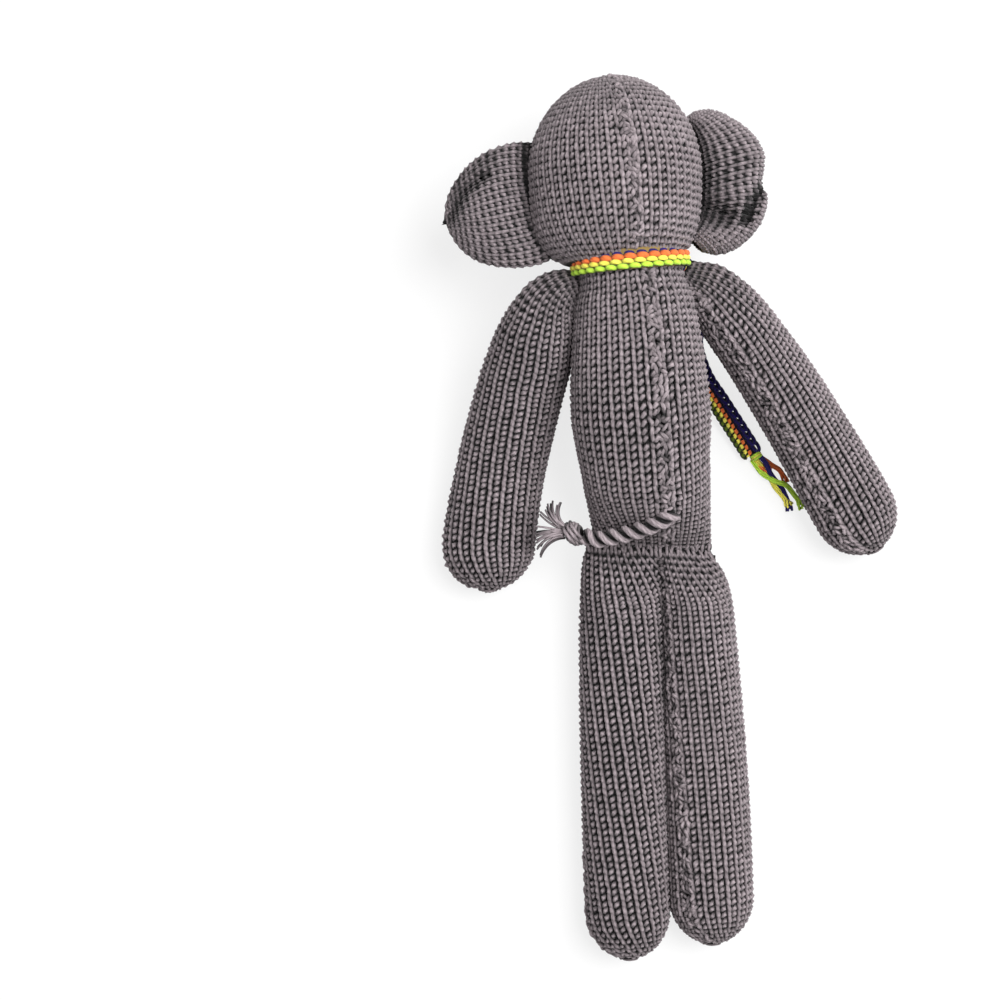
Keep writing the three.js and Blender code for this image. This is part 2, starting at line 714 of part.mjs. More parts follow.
const knotReach = scarfOuter + CLEARANCE + SCARF_KNOT;
const across = new THREE.Vector3(axis.y, -axis.x, 0);
const scarfKnot = addMesh("scarf_knot", new THREE.SphereGeometry(SCARF_KNOT, 12, 8), LIME);
scarfKnot.position
  .copy(NECK)
  .addScaledVector(across, knotReach * Math.sin(SCARF_KNOT_TURN))
  .addScaledVector(UP, -knotReach * Math.cos(SCARF_KNOT_TURN));

// A knitted strip that lies flat along a route, with a tassel of loose yarn at its end
function addScarfEnd(name, places) {
  const route = places.map(vector);
  const leaving = route[0].clone().sub(scarfKnot.position).setLength(SCARF_KNOT + CLEARANCE);
  const curve = new THREE.CatmullRomCurve3([leaving.add(scarfKnot.position), ...route]);
  const rings = spread(0, 1, 9).map((share) => {
    const centre = curve.getPointAt(share);
    const along = curve.getTangentAt(share);
    const side = along.clone().cross(UP).normalize();
    const up = side.clone().cross(along);
    const corners = [
      [0.5, 0.2],
      [0.42, 0.5],
      [-0.42, 0.5],
      [-0.5, 0.2],
      [-0.5, -0.2],
      [-0.42, -0.5],
      [0.42, -0.5],
      [0.5, -0.2],
    ];
    return corners.map(([x, y]) =>
      centre
        .clone()
        .addScaledVector(side, x * SCARF_END_WIDTH)
        .addScaledVector(up, y * SCARF_THICKNESS),
    );
  });
  const ends = [[curve.getPointAt(0)], [curve.getPointAt(1)]];
  addMesh(`scarf_end_${name}`, loft([ends[0], ...rings, ends[1]]), YELLOW);
  const outline = [
    [0, 0],
    [TASSEL_RADIUS * 0.7, 0],
    [TASSEL_RADIUS, TASSEL_LENGTH * 0.3],
    [TASSEL_RADIUS * 0.8, TASSEL_LENGTH],
    [0, TASSEL_LENGTH],
  ].map(([x, y]) => new THREE.Vector2(x, y));
  const tassel = addMesh(`scarf_tassel_${name}`, new THREE.LatheGeometry(outline, 8), LIME);
  const along = curve.getTangentAt(1).setZ(0).normalize();
  tassel.quaternion.setFromUnitVectors(new THREE.Vector3(0, 1, 0), along);
  tassel.position.copy(curve.getPointAt(1)).addScaledVector(along, CLEARANCE);
}
for (const [name, places] of Object.entries(SCARF_ENDS)) addScarfEnd(name, places);

// The origin is the middle of the footprint, on the surface that the toy lies on
toy.updateMatrixWorld(true);
const bounds = new THREE.Box3().setFromObject(toy, true);
const middle = bounds.getCenter(new THREE.Vector3());
toy.children.forEach((mesh) => mesh.position.sub(new THREE.Vector3(middle.x, middle.y, bounds.min.z)));

export default toy;
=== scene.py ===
"""A knitted elephant that lies on its front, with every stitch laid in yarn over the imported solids.

Sizes are in millimetres, in the frame that the solids are drawn in before they are centred, until a
mesh is made. Pieces are knitted on skins: grids of places that repeat the forms of the solids.
"""

import json
import logging
import math
from abc import ABC, abstractmethod
from dataclasses import dataclass, field
from enum import Enum
from functools import cached_property
from typing import Any, Callable

import bpy
import numpy as np
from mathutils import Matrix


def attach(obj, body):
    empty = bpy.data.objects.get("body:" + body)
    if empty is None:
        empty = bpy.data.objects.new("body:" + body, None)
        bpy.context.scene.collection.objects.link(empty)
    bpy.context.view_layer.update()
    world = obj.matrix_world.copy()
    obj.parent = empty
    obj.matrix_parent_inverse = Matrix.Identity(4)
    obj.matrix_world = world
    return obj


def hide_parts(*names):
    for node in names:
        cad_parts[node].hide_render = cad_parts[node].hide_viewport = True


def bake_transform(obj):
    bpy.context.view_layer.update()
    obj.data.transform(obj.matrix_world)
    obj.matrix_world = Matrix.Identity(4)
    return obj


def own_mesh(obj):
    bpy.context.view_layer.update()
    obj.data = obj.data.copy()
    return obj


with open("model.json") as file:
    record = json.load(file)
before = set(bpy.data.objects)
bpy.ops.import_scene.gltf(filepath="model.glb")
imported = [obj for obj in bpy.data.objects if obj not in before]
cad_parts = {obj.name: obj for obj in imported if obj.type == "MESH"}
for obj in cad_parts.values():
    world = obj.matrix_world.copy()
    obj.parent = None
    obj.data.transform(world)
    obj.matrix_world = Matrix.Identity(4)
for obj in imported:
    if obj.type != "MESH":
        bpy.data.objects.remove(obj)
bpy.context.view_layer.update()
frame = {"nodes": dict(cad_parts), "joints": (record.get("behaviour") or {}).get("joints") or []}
LOG = logging.getLogger("knitted_elephant")

Array = np.ndarray
Size = Callable[[Array], Array]
Point = tuple[float, float, float]
Painted = bpy.types.Material | bpy.types.World

UP = np.array((0.0, 0.0, 1.0))
SEWN_EDGE = 1.2
SEWN_NOSE = 0.9
CLEARANCE = 0.3
ROOT_SKEW = 50.0
TAPER_POWER = 1.5

NECK = np.array((-19.3, 113.0, 50.0))
NECK_RADIUS = 22.0
HIP = np.array((-7.9, -8.4, 26.0))
HIP_LEAN = math.radians(3.3)
HEAD_LEAN = math.radians(8)
HEAD_AXIS = np.array((-math.sin(HEAD_LEAN), math.cos(HEAD_LEAN), 0.0))
SCARF_WIDTH = 9.6
SCARF_THICKNESS = 3.2

TURN_PLACE = next(j["pos_m"] for j in frame["joints"] if j["name"] == "head_turn")
CENTRING = np.array(TURN_PLACE) * 1000.0 - NECK


def metres(places: Array) -> Array:
    """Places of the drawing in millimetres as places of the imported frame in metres."""
    return (np.asarray(places, float) + CENTRING) / 1000.0


def unit(vectors: Array) -> Array:
    """The same directions with a length of one."""
    return vectors / np.maximum(np.linalg.norm(vectors, axis=-1, keepdims=True), 1e-9)


def ease(value: Array, low: float, high: float) -> Array:
    """A smooth rise from 0 at low to 1 at high."""
    t = np.clip((np.asarray(value, float) - low) / (high - low), 0.0, 1.0)
    return t * t * (3.0 - 2.0 * t)


def lengths_along(points: Array) -> Array:
    """The distance of each point from the first, along the line through them."""
    return np.concatenate([[0.0], np.cumsum(np.linalg.norm(np.diff(points, axis=0), axis=1))])


def read_between(where: Any, marks: Array, values: Array) -> Array:
    """Rows of values, read between marks.

    Args:
        where: One place among the marks, or many.
        marks: The rising places of the rows.
        values: The rows.

    Returns:
        A row of values for each place.
    """
    return np.stack([np.interp(where, marks, column) for column in values.T], -1)


def oval(centre: Any, side: Array, up: Array, angle: Array, wide: Any = 1.0, high: Any = 1.0) -> Array:
    """Places on an oval.

    Args:
        centre: Its middle.
        side: The direction at an angle of nought.
        up: The direction at a quarter turn.
        angle: The angles of the places.
        wide: The half width along side.
        high: The half width along up.

    Returns:
        The places.
    """
    return centre + side * (wide * np.cos(angle))[..., None] + up * (high * np.sin(angle))[..., None]


NECK_AXIS = unit((NECK - HIP) * (1.0, 1.0, 0.0))
NECK_SIDE = np.array((NECK_AXIS[1], -NECK_AXIS[0], 0.0))
NECK_PLACE = float(np.linalg.norm(NECK - HIP))


@dataclass(frozen=True)
class Profile:
    """A smooth curve of sizes through a few marks of place and size."""

    marks: tuple[tuple[float, float], ...]

    def __call__(self, place: Array) -> Array:
        """The size at each place.

        Args:
            place: Places among the marks.

        Returns:
            One size for each place.
        """
        x, y = np.array(self.marks, float).T
        slope = np.zeros(len(x))
        slope[1:-1] = (y[2:] - y[:-2]) / (x[2:] - x[:-2])
        place = np.clip(place, x[0], x[-1])
        i = np.clip(np.searchsorted(x, place, side="right") - 1, 0, len(x) - 2)
        span = x[i + 1] - x[i]
        t = (place - x[i]) / span
        rise = (y[i + 1] - y[i]) * t * t * (3.0 - 2.0 * t)
        bend = t * (1.0 - t) ** 2 * slope[i] - t * t * (1.0 - t) * slope[i + 1]
        return y[i] + rise + span * bend


@dataclass(frozen=True)
class SewnTaper:
    """The half depth of a stuffed piece that swells from a flat, sewn edge."""

    full: float
    taper: float

    def __call__(self, place: Array) -> Array:
        """The half depth at each distance from the edge."""
        left = 1.0 - np.clip(np.asarray(place, float) / self.taper, 0.0, 1.0)
        return SEWN_EDGE + (self.full - SEWN_EDGE) * (1.0 - left**TAPER_POWER)


@dataclass(frozen=True)
class Route:
    """A smooth curve through a few points, read by the distance along it."""

    points: tuple[tuple[float, ...], ...]
    steps: int = 80

    @cached_property
    def table(self) -> tuple[Array, Array, Array]:
        """Distances, places and directions close together along the curve.

        Returns:
            The three arrays, row by row.
        """
        p = np.array(self.points, float)
        q = np.vstack([2.0 * p[0] - p[1], p, 2.0 * p[-1] - p[-2]])
        gaps = np.sqrt(np.linalg.norm(np.diff(q, axis=0), axis=1))
        t = np.linspace(0.0, 1.0, self.steps, endpoint=False)[:, None]
        rows = []
        for i in range(len(p) - 1):
            a, b, c, d = q[i : i + 4]
            da, db, dc = gaps[i : i + 3]
            out = db * ((b - a) / da - (c - a) / (da + db) + (c - b) / db)
            into = db * ((c - b) / db - (d - b) / (db + dc) + (d - c) / dc)
            cubic = 2.0 * b - 2.0 * c + out + into
            square = -3.0 * b + 3.0 * c - 2.0 * out - into
            rows.append(b + out * t + square * t**2 + cubic * t**3)
        places = np.vstack([*rows, p[-1:]])
        distances = lengths_along(places)
        return distances, places, unit(np.gradient(places, distances, axis=0))

    @property
    def length(self) -> float:
        """The length of the curve."""
        return float(self.table[0][-1])

    def at(self, distance: Array) -> tuple[Array, Array]:
        """Places and directions at distances, running straight on past the ends.

        Args:
            distance: Distances from the first point.

        Returns:
            The places and the unit directions there.
        """
        distances, places, directions = self.table
        distance = np.asarray(distance, float)
        inside = np.clip(distance, 0.0, self.length)
        place = read_between(inside, distances, places)
        along = unit(read_between(inside, distances, directions))
        return place + along * (distance - inside)[..., None], along


@dataclass(frozen=True)
class Tube:
    """A stuffed tube along a route: oval in section, rounded at its far end, never under the floor."""

    route: Route
    half_width: Size
    half_depth: Size
    end_round: float
    root_side: Array | None = None

    @property
    def length(self) -> float:
        """The length from the sewn edge to the tip."""
        return self.route.length

    def section(self, distance: Array) -> tuple[Array, Array, Array, Array, Array]:
        """The oval sections at some distances.

        Args:
            distance: Distances from the root.

        Returns:
            Their centres, side and up directions, half widths and half depths.
        """
        centre, along = self.route.at(distance)
        side = unit(np.cross(along, UP))
        up = np.cross(side, along)
        if self.root_side is not None:
            square = ease(distance, 0.0, ROOT_SKEW)[..., None]
            side = unit(side * square + self.root_side * (1.0 - square))
        into = np.clip((distance - self.length + self.end_round) / self.end_round, 0.0, 1.0)
        rounding = np.sqrt(1.0 - into * into)
        return centre, side, up, self.half_width(distance) * rounding, self.half_depth(distance) * rounding

    def point(self, distance: Array, angle: Array) -> Array:
        """Places on the tube at distances and at angles round it.

        Args:
            distance: Distances from the root.
            angle: Angles round the tube, from its side direction.

        Returns:
            The places, never under the floor.
        """
        distance, angle = np.broadcast_arrays(np.asarray(distance, float), np.asarray(angle, float))
        centre, side, up, width, depth = self.section(distance)
        place = oval(centre, side, up, angle, width, depth)
        place[..., 2] = np.maximum(place[..., 2], 0.0)
        return place

    def rows_between(self, start: float, end: float, pitch: float) -> Array:
        """Distances of even rows of knitting, measured over the surface.

        Args:
            start: Distance of the first row from the root.
            end: Distance of the last row.
            pitch: The height of one row.

        Returns:
            One distance for each row edge.
        """
        turn = self.length - self.end_round
        straight = np.linspace(start, max(turn, start), 160)
        bend = turn + self.end_round * np.sin(np.linspace(0.0, math.pi / 2, 80))
        fine = np.unique(np.clip(np.concatenate([straight, bend]), start, end))
        rings = self.point(fine[:, None], np.linspace(0.0, 2.0 * math.pi, 9)[None, :-1])
        walked = np.linalg.norm(np.diff(rings, axis=0), axis=2).mean(1)
        measured = np.concatenate([[0.0], np.cumsum(walked)])
        count = max(int(round(measured[-1] / pitch)), 2)
        return np.interp(np.linspace(0.0, measured[-1], count + 1), measured, fine)


class Skin:
    """A surface as a grid of places and normals, read by shares across it and rows along it."""

    def __init__(self, places: Array, room: Array, outward: Array, closed: bool = True) -> None:
        """Keep the grid and work out its normals.

        Args:
            places: Grid of places, rows first.
            room: How much of a full depth there is at each row or place of the grid.
            outward: Roughly outward directions, to tell the two sides apart.
            closed: Whether the last column runs into the first.
        """
        self.places = places
        self.closed = closed
        self.room = np.broadcast_to(room if room.ndim == 2 else room[:, None], places.shape[:2])
        if closed:
            across = np.roll(places, -1, axis=1) - np.roll(places, 1, axis=1)
        else:
            across = np.gradient(places, axis=1)
        normals = unit(np.cross(across, np.gradient(places, axis=0)))
        self.normals = unit(normals * np.sign(np.sum(normals * outward)) + outward * 1e-3)
        ring = np.concatenate([places, places[:, :1]], axis=1) if closed else places
        self.around = np.linalg.norm(np.diff(ring, axis=1), axis=2).sum(1)
        self.reach = float(np.linalg.norm(np.diff(places, axis=0), axis=2).sum(0).mean())
        # How much painted shade each place gets, taken off the height that the yarn's material reads
        self.sunk_shade = np.zeros(places.shape[:2])

    def width_at(self, along: Array) -> Array:
        """The length across the surface at shares along it."""
        return np.interp(along, np.linspace(0.0, 1.0, len(self.around)), self.around)

    def read(self, grid: Array, across: Array, along: Array) -> Array:
        """Values of a grid between its points.

        Args:
            grid: Values on the grid.
            across: Shares from 0 to 1 across it.
            along: Shares from 0 to 1 along it, a little past the ends at most.

        Returns:
            The values there.
        """
        rows, columns = self.places.shape[:2]
        y = along * (rows - 1)
        i = np.clip(np.floor(y).astype(int), 0, rows - 2)
        fy = np.clip(y - i, -3.0, 1.0)
        if self.closed:
            x = np.mod(across, 1.0) * columns
            j = np.floor(x).astype(int) % columns
            k = (j + 1) % columns
            fx = x - np.floor(x)
        else:
            x = across * (columns - 1)
            j = np.clip(np.floor(x).astype(int), 0, columns - 2)
            k = j + 1
            fx = np.clip(x - j, -1.0, 2.0)
        if grid.ndim == 3:
            fx, fy = fx[..., None], fy[..., None]
        low = grid[i, j] * (1.0 - fx) + grid[i, k] * fx
        high = grid[i + 1, j] * (1.0 - fx) + grid[i + 1, k] * fx
        return low * (1.0 - fy) + high * fy

    def at(self, across: Array, along: Array, lift: Array) -> tuple[Array, Array]:
        """Places off the surface and the normals there.

        Args:
            across: Shares across the surface.
            along: Shares along it.
            lift: How far outside the surface, less where there is little room inside.

        Returns:
            The places and the unit normals.
        """
        normal = unit(self.read(self.normals, across, along))
        room = self.read(self.room, across, along)
        return self.read(self.places, across, along) + normal * (lift * room)[..., None], normal


GRID_STEPS = 3
RING_SAMPLES = 193
LEAST_AROUND = 40.0
ROOMY_DEPTH = 5.0
LEAST_ROOM = 0.35
LOWEST_HEART = 0.5


def tube_skin(tube: Tube, edges: Array, seam: float, twist: float = 0.0, columns: int = 96) -> Skin:
    """The skin of a tube, with even columns all the way round.

    Args:
        tube: The tube to cover.
        edges: Distances of the row edges from the root.
        seam: The angle of the seam, where the columns begin.
        twist: How far the columns lean sideways, in radians.
        columns: How many columns the grid has.

    Returns:
        The skin, with a few grid rows to a row of knitting.
    """
    fine, coarse = (np.linspace(0.0, 1.0, n) for n in (GRID_STEPS * (len(edges) - 1) + 1, len(edges)))
    stops = np.interp(fine, coarse, edges)
    angles = seam + np.linspace(0.0, 2.0 * math.pi, RING_SAMPLES)
    rings = tube.point(stops[:, None], angles[None, :])
    steps = np.linalg.norm(np.diff(rings, axis=1), axis=2) + 1e-6
    walked = np.concatenate([np.zeros((len(stops), 1)), np.cumsum(steps, axis=1)], axis=1)
    around = walked[:, -1:]
    lean = math.tan(twist) * (stops[:, None] - stops.mean()) / np.maximum(around, LEAST_AROUND)
    wanted = np.mod(np.linspace(0.0, 1.0, columns, endpoint=False)[None, :] + lean, 1.0) * around
    turned = np.stack([np.interp(w, row, angles) for w, row in zip(wanted, walked)])
    places = tube.point(stops[:, None], turned)
    centre = tube.section(stops)[0]
    centre[:, 2] = np.maximum(centre[:, 2], LOWEST_HEART)
    room = np.clip(tube.half_depth(stops) / ROOMY_DEPTH, LEAST_ROOM, 1.0)
    return Skin(places, room, unit(places - centre[:, None, :] + 1e-6))


class Socket:
    """An output of a material's node, with arithmetic that adds Math nodes."""

    def __init__(self, paint: "Paint", link: Any) -> None:
        """Wrap a socket of a paint."""
        self.paint = paint
        self.link = link

    def math(self, operation: str, first: Any, second: Any = 0.0) -> "Socket":
        """A Math node on two values or sockets."""
        return self.paint.node("ShaderNodeMath", {"operation": operation}, {0: first, 1: second})[0]

    def __add__(self, other: Any) -> "Socket":
        """This value plus another."""
        return self.math("ADD", self, other)

    def __sub__(self, other: Any) -> "Socket":
        """This value less another."""
        return self.math("SUBTRACT", self, other)

    def __rsub__(self, other: Any) -> "Socket":
        """Another value less this one."""
        return self.math("SUBTRACT", other, self)

    def __mul__(self, other: Any) -> "Socket":
        """This value times another."""
        return self.math("MULTIPLY", self, other)

    def sine(self) -> "Socket":
        """The sine of this value."""
        return self.math("SINE", self)


class Paint:
    """One material, or the room's background, in the making."""

    def __init__(self, owner: Painted) -> None:
        """Start with no nodes.

        Args:
            owner: The material, or the world, that gets the nodes.
        """
        self.owner = owner
        owner.use_nodes = True
        self.tree = owner.node_tree
        self.tree.nodes.clear()

    def node(self, kind: str, settings: dict[str, Any], sockets: dict[Any, Any]) -> list[Socket]:
        """Add a node.

        Args:
            kind: The node's type.
            settings: Its own settings; stops holds a ramp's places and colours.
            sockets: Values or sockets for its inputs, by name or number.

        Returns:
            The node's outputs.
        """
        made = self.tree.nodes.new(kind)
        for name, value in settings.items():
            if name == "stops":
                ramp = made.color_ramp.elements
                while len(ramp) < len(value):
                    ramp.new(1.0)
                for stop, (place, colour) in zip(ramp, value):
                    stop.position, stop.color = place, colour
            else:
                setattr(made, name, value)
        for name, value in sockets.items():
            if isinstance(value, Socket):
                self.tree.links.new(value.link, made.inputs[name])
            else:
                made.inputs[name].default_value = value
        return [Socket(self, output) for output in made.outputs]

    def mix(self, factor: Any, first: Any, second: Any, how: str = "MIX") -> Socket:
        """A mix of two colours."""
        settings = {"data_type": "RGBA", "blend_type": how}
        return self.node("ShaderNodeMix", settings, {0: factor, 6: first, 7: second})[2]

    def seen(self) -> Socket:
        """One where the camera sees a surface, also in a mirror or through glass, and nought elsewhere.

        Returns:
            The socket with that value.
        """
        rays = self.node("ShaderNodeLightPath", {}, {})
        direct, mirrored, through = (rays[number] for number in (0, 3, 6))
        return direct.math("MINIMUM", direct + mirrored + through, 1.0)

    def noise(self, where: Socket, scale: float, detail: float) -> Socket:
        """A cloudy pattern over places."""
        return self.node("ShaderNodeTexNoise", {}, {"Vector": where, "Scale": scale, "Detail": detail})[0]

    def cloth(
        self, colour: Socket, relief: Socket, strength: float, height: float, more: dict[str, Any]
    ) -> Painted:
        """Finish the material as matt cloth.

        Args:
            colour: The colour of the surface.
            relief: The form of its fine relief.
            strength: How strongly the relief shows.
            height: The height of the relief, in metres.
            more: Further inputs of the shader, by name.

        Returns:
            The material.
        """
        raised = {"Strength": strength, "Distance": height, "Height": relief}
        bump = self.node("ShaderNodeBump", {}, raised)[0]
        inputs = {"Base Color": colour, "Normal": bump, **more}
        return self.finish(self.node("ShaderNodeBsdfPrincipled", {}, inputs)[0])

    def finish(self, shader: Socket, output: str = "ShaderNodeOutputMaterial") -> Painted:
        """Link the shader to the surface and hand over what was painted."""
        self.node(output, {}, {"Surface": shader})
        return self.owner


Colour = tuple[float, float, float]


@dataclass(frozen=True)
class YarnFinish:
    """Plied yarn: its colour, its darker colour for fibres and for painted shade, the twist of its plies, and
    painted shade in its ply grooves and hollows.
    """

    name: str
    slot: str
    colour: Colour
    shade: Colour
    plies: int = 4
    lay: float = 3.4
    roughness: float = 0.92
    sheen: float = 0.1
    # Painted shade: how much darker the ply grooves are painted; hollow is the colour of low yarn as a share
    # of the darker colour, and bottom and top are the heights over which that painted shade fades out
    groove_shade: float = 0.4
    hollow: float = 0.02
    bottom: float = -0.86
    top: float = 0.98

    @cached_property
    def material(self) -> bpy.types.Material:
        """The material, made once.

        Returns:
            The material.
        """
        paint = Paint(bpy.data.materials.new(self.name))
        spot = paint.node("ShaderNodeUVMap", {"uv_map": "Yarn"}, {})[0]
        run, turn, _ = paint.node("ShaderNodeSeparateXYZ", {}, {0: spot})
        place = paint.node("ShaderNodeNewGeometry", {}, {})[0]
        twist = ((run * (1.0 / self.lay) + turn * float(self.plies)) * (2.0 * math.pi)).sine()
        ply = twist * 0.5 + 0.5
        slant = run * 0.9 + turn * 1.3
        fibre_place = paint.node("ShaderNodeCombineXYZ", {}, {0: slant, 1: turn * 14.0, 2: 0.0})[0]
        fibre = paint.noise(fibre_place, 1.6, 3.0)
        mottle = paint.noise(place, 42.0, 2.0)
        # Painted shade in the ply grooves, with random darker fibres and mottling
        dark = (1.0 - ply) * self.groove_shade + (fibre - 0.5) * 1.8 + (mottle - 0.5) * 0.8
        tone = paint.node("ShaderNodeClamp", {}, {"Value": dark, "Min": 0.0, "Max": 1.0})[0]
        lit = paint.mix(tone, (*self.colour, 1.0), (*self.shade, 1.0))
        # Painted shade in the hollows: the lower the height that a corner is given, the nearer its colour is
        # to the dark hollow colour
        height = paint.node("ShaderNodeAttribute", {"attribute_name": "height"}, {})[2]
        unshaded_share = paint.node(
            "ShaderNodeMapRange",
            {"interpolation_type": "SMOOTHSTEP"},
            {"Value": height, "From Min": self.bottom, "From Max": self.top},
        )[0]
        shaded = tuple(part * self.hollow for part in self.shade)
        colour = paint.mix(unshaded_share, (*shaded, 1.0), lit)
        relief = ply * 0.7 + fibre * 0.5
        more = {
            "Roughness": self.roughness,
            "Sheen Weight": self.sheen,
            "Sheen Roughness": 0.6,
            "Specular IOR Level": 0.2,
        }
        return paint.cloth(colour, relief, 0.45, 0.0004, more)


@dataclass(frozen=True)
class LiningFinish:
    """The inner side of knitting, seen only through its holes, painted dark as the shade there."""

    name: str
    slot: str
    colour: Colour
    shade: Colour

    @cached_property
    def material(self) -> bpy.types.Material:
        """The material, made once.

        Returns:
            The material.
        """
        paint = Paint(bpy.data.materials.new(self.name))
        place = paint.node("ShaderNodeNewGeometry", {}, {})[0]
        tufts = paint.noise(place, 420.0, 4.0)
        colour = paint.mix(tufts, (*self.colour, 1.0), (*self.shade, 1.0))
        return paint.cloth(colour, tufts, 0.6, 0.0008, {"Roughness": 1.0, "Specular IOR Level": 0.0})


GREY = YarnFinish("grey_cotton", "grey_yarn", (0.395, 0.333, 0.354), (0.155, 0.131, 0.14))
CREAM = YarnFinish("cream_cotton", "tusk_yarn", (0.82, 0.76, 0.62), (0.66, 0.58, 0.44))
BLACK = YarnFinish("black_floss", "eye_yarn", (0.014, 0.012, 0.013), (0.006, 0.005, 0.006), sheen=0.3)
NAVY = YarnFinish("navy_cotton", "scarf_yarn", (0.02, 0.012, 0.14), (0.011, 0.007, 0.075))
ORANGE = YarnFinish("orange_cotton", "scarf_yarn", (0.92, 0.2, 0.05), (0.7, 0.12, 0.03))
YELLOW = YarnFinish("yellow_cotton", "scarf_yarn", (0.98, 0.9, 0.13), (0.8, 0.66, 0.06))
LIME = YarnFinish("lime_cotton", "scarf_yarn", (0.58, 0.9, 0.08), (0.42, 0.7, 0.04))
# Near black: painted shade inside the pieces, seen through the stitches
SHADE_LINING = LiningFinish("grey_lining", "grey_yarn", (0.022, 0.018, 0.02), (0.04, 0.034, 0.037))
BACKING = LiningFinish("scarf_backing", "scarf_yarn", (0.16, 0.12, 0.05), (0.3, 0.2, 0.07))
COLOURS = (NAVY, ORANGE, YELLOW, LIME)


def grid_faces(rows: int, columns: int, closed: bool = True) -> tuple[Array, Array, Array]:
    """The four-cornered faces between the points of a grid.

    Args:
        rows: Rows of points.
        columns: Points in a row.
        closed: Whether the last column runs into the first.

    Returns:
        Each face's row, its column and the numbers of its corners.
    """
    faces_across = columns if closed else columns - 1
    i, j = np.meshgrid(np.arange(rows - 1), np.arange(faces_across), indexing="ij")
    k = (j + 1) % columns
    corners = (i * columns + j, i * columns + k, (i + 1) * columns + k, (i + 1) * columns + j)
    return i, j, np.stack(corners, -1)


def make_mesh(
    name: str,
    corners: Array,
    loops: Array,
    sizes: Array,
    maps: dict[str, Array] | None = None,
    shade_heights: Array | None = None,
) -> bpy.types.Object:
    """An object from plain arrays.

    Args:
        name: The object's name.
        corners: Places in the drawing's millimetres.
        loops: Corner numbers of all faces in turn.
        sizes: How many corners each face has.
        maps: Texture places for each loop, by the map's name.
        shade_heights: How far each corner lies above the skin, in millimetres, less any painted shade; the
            yarn's material paints low corners darker.

    Returns:
        The object, linked to the scene.
    """
    starts = np.concatenate([[0], np.cumsum(sizes)[:-1]])
    mesh = bpy.data.meshes.new(name)
    mesh.vertices.add(len(corners))
    mesh.vertices.foreach_set("co", metres(corners).astype(np.float32).ravel())
    mesh.loops.add(len(loops))
    mesh.loops.foreach_set("vertex_index", loops.astype(np.int32))
    mesh.polygons.add(len(starts))
    mesh.polygons.foreach_set("loop_start", starts.astype(np.int32))
    mesh.polygons.foreach_set("use_smooth", np.ones(len(starts), bool))
    for title, spots in (maps or {}).items():
        layer = mesh.uv_layers.new(name=title, do_init=False)
        layer.uv.foreach_set("vector", spots.astype(np.float32).ravel())
    if shade_heights is not None:
        # The attribute that the yarn's material paints its shade from
        mesh.attributes.new("height", "FLOAT", "POINT").data.foreach_set("value", shade_heights.astype(np.float32))
    mesh.update()
    mesh.validate()
    piece = bpy.data.objects.new(name, mesh)
    bpy.context.scene.collection.objects.link(piece)
    return piece


@dataclass
class Strand:
    """One length of yarn: places, outward directions, radii, and how high it lies above the skin, less any
    painted shade.
    """

    places: Array
    normals: Array
    radius: Array
    lift: Array


FLOOR_GAP = 0.05
BAKE_END = 0.002
BAKE_SIDE = 0.04


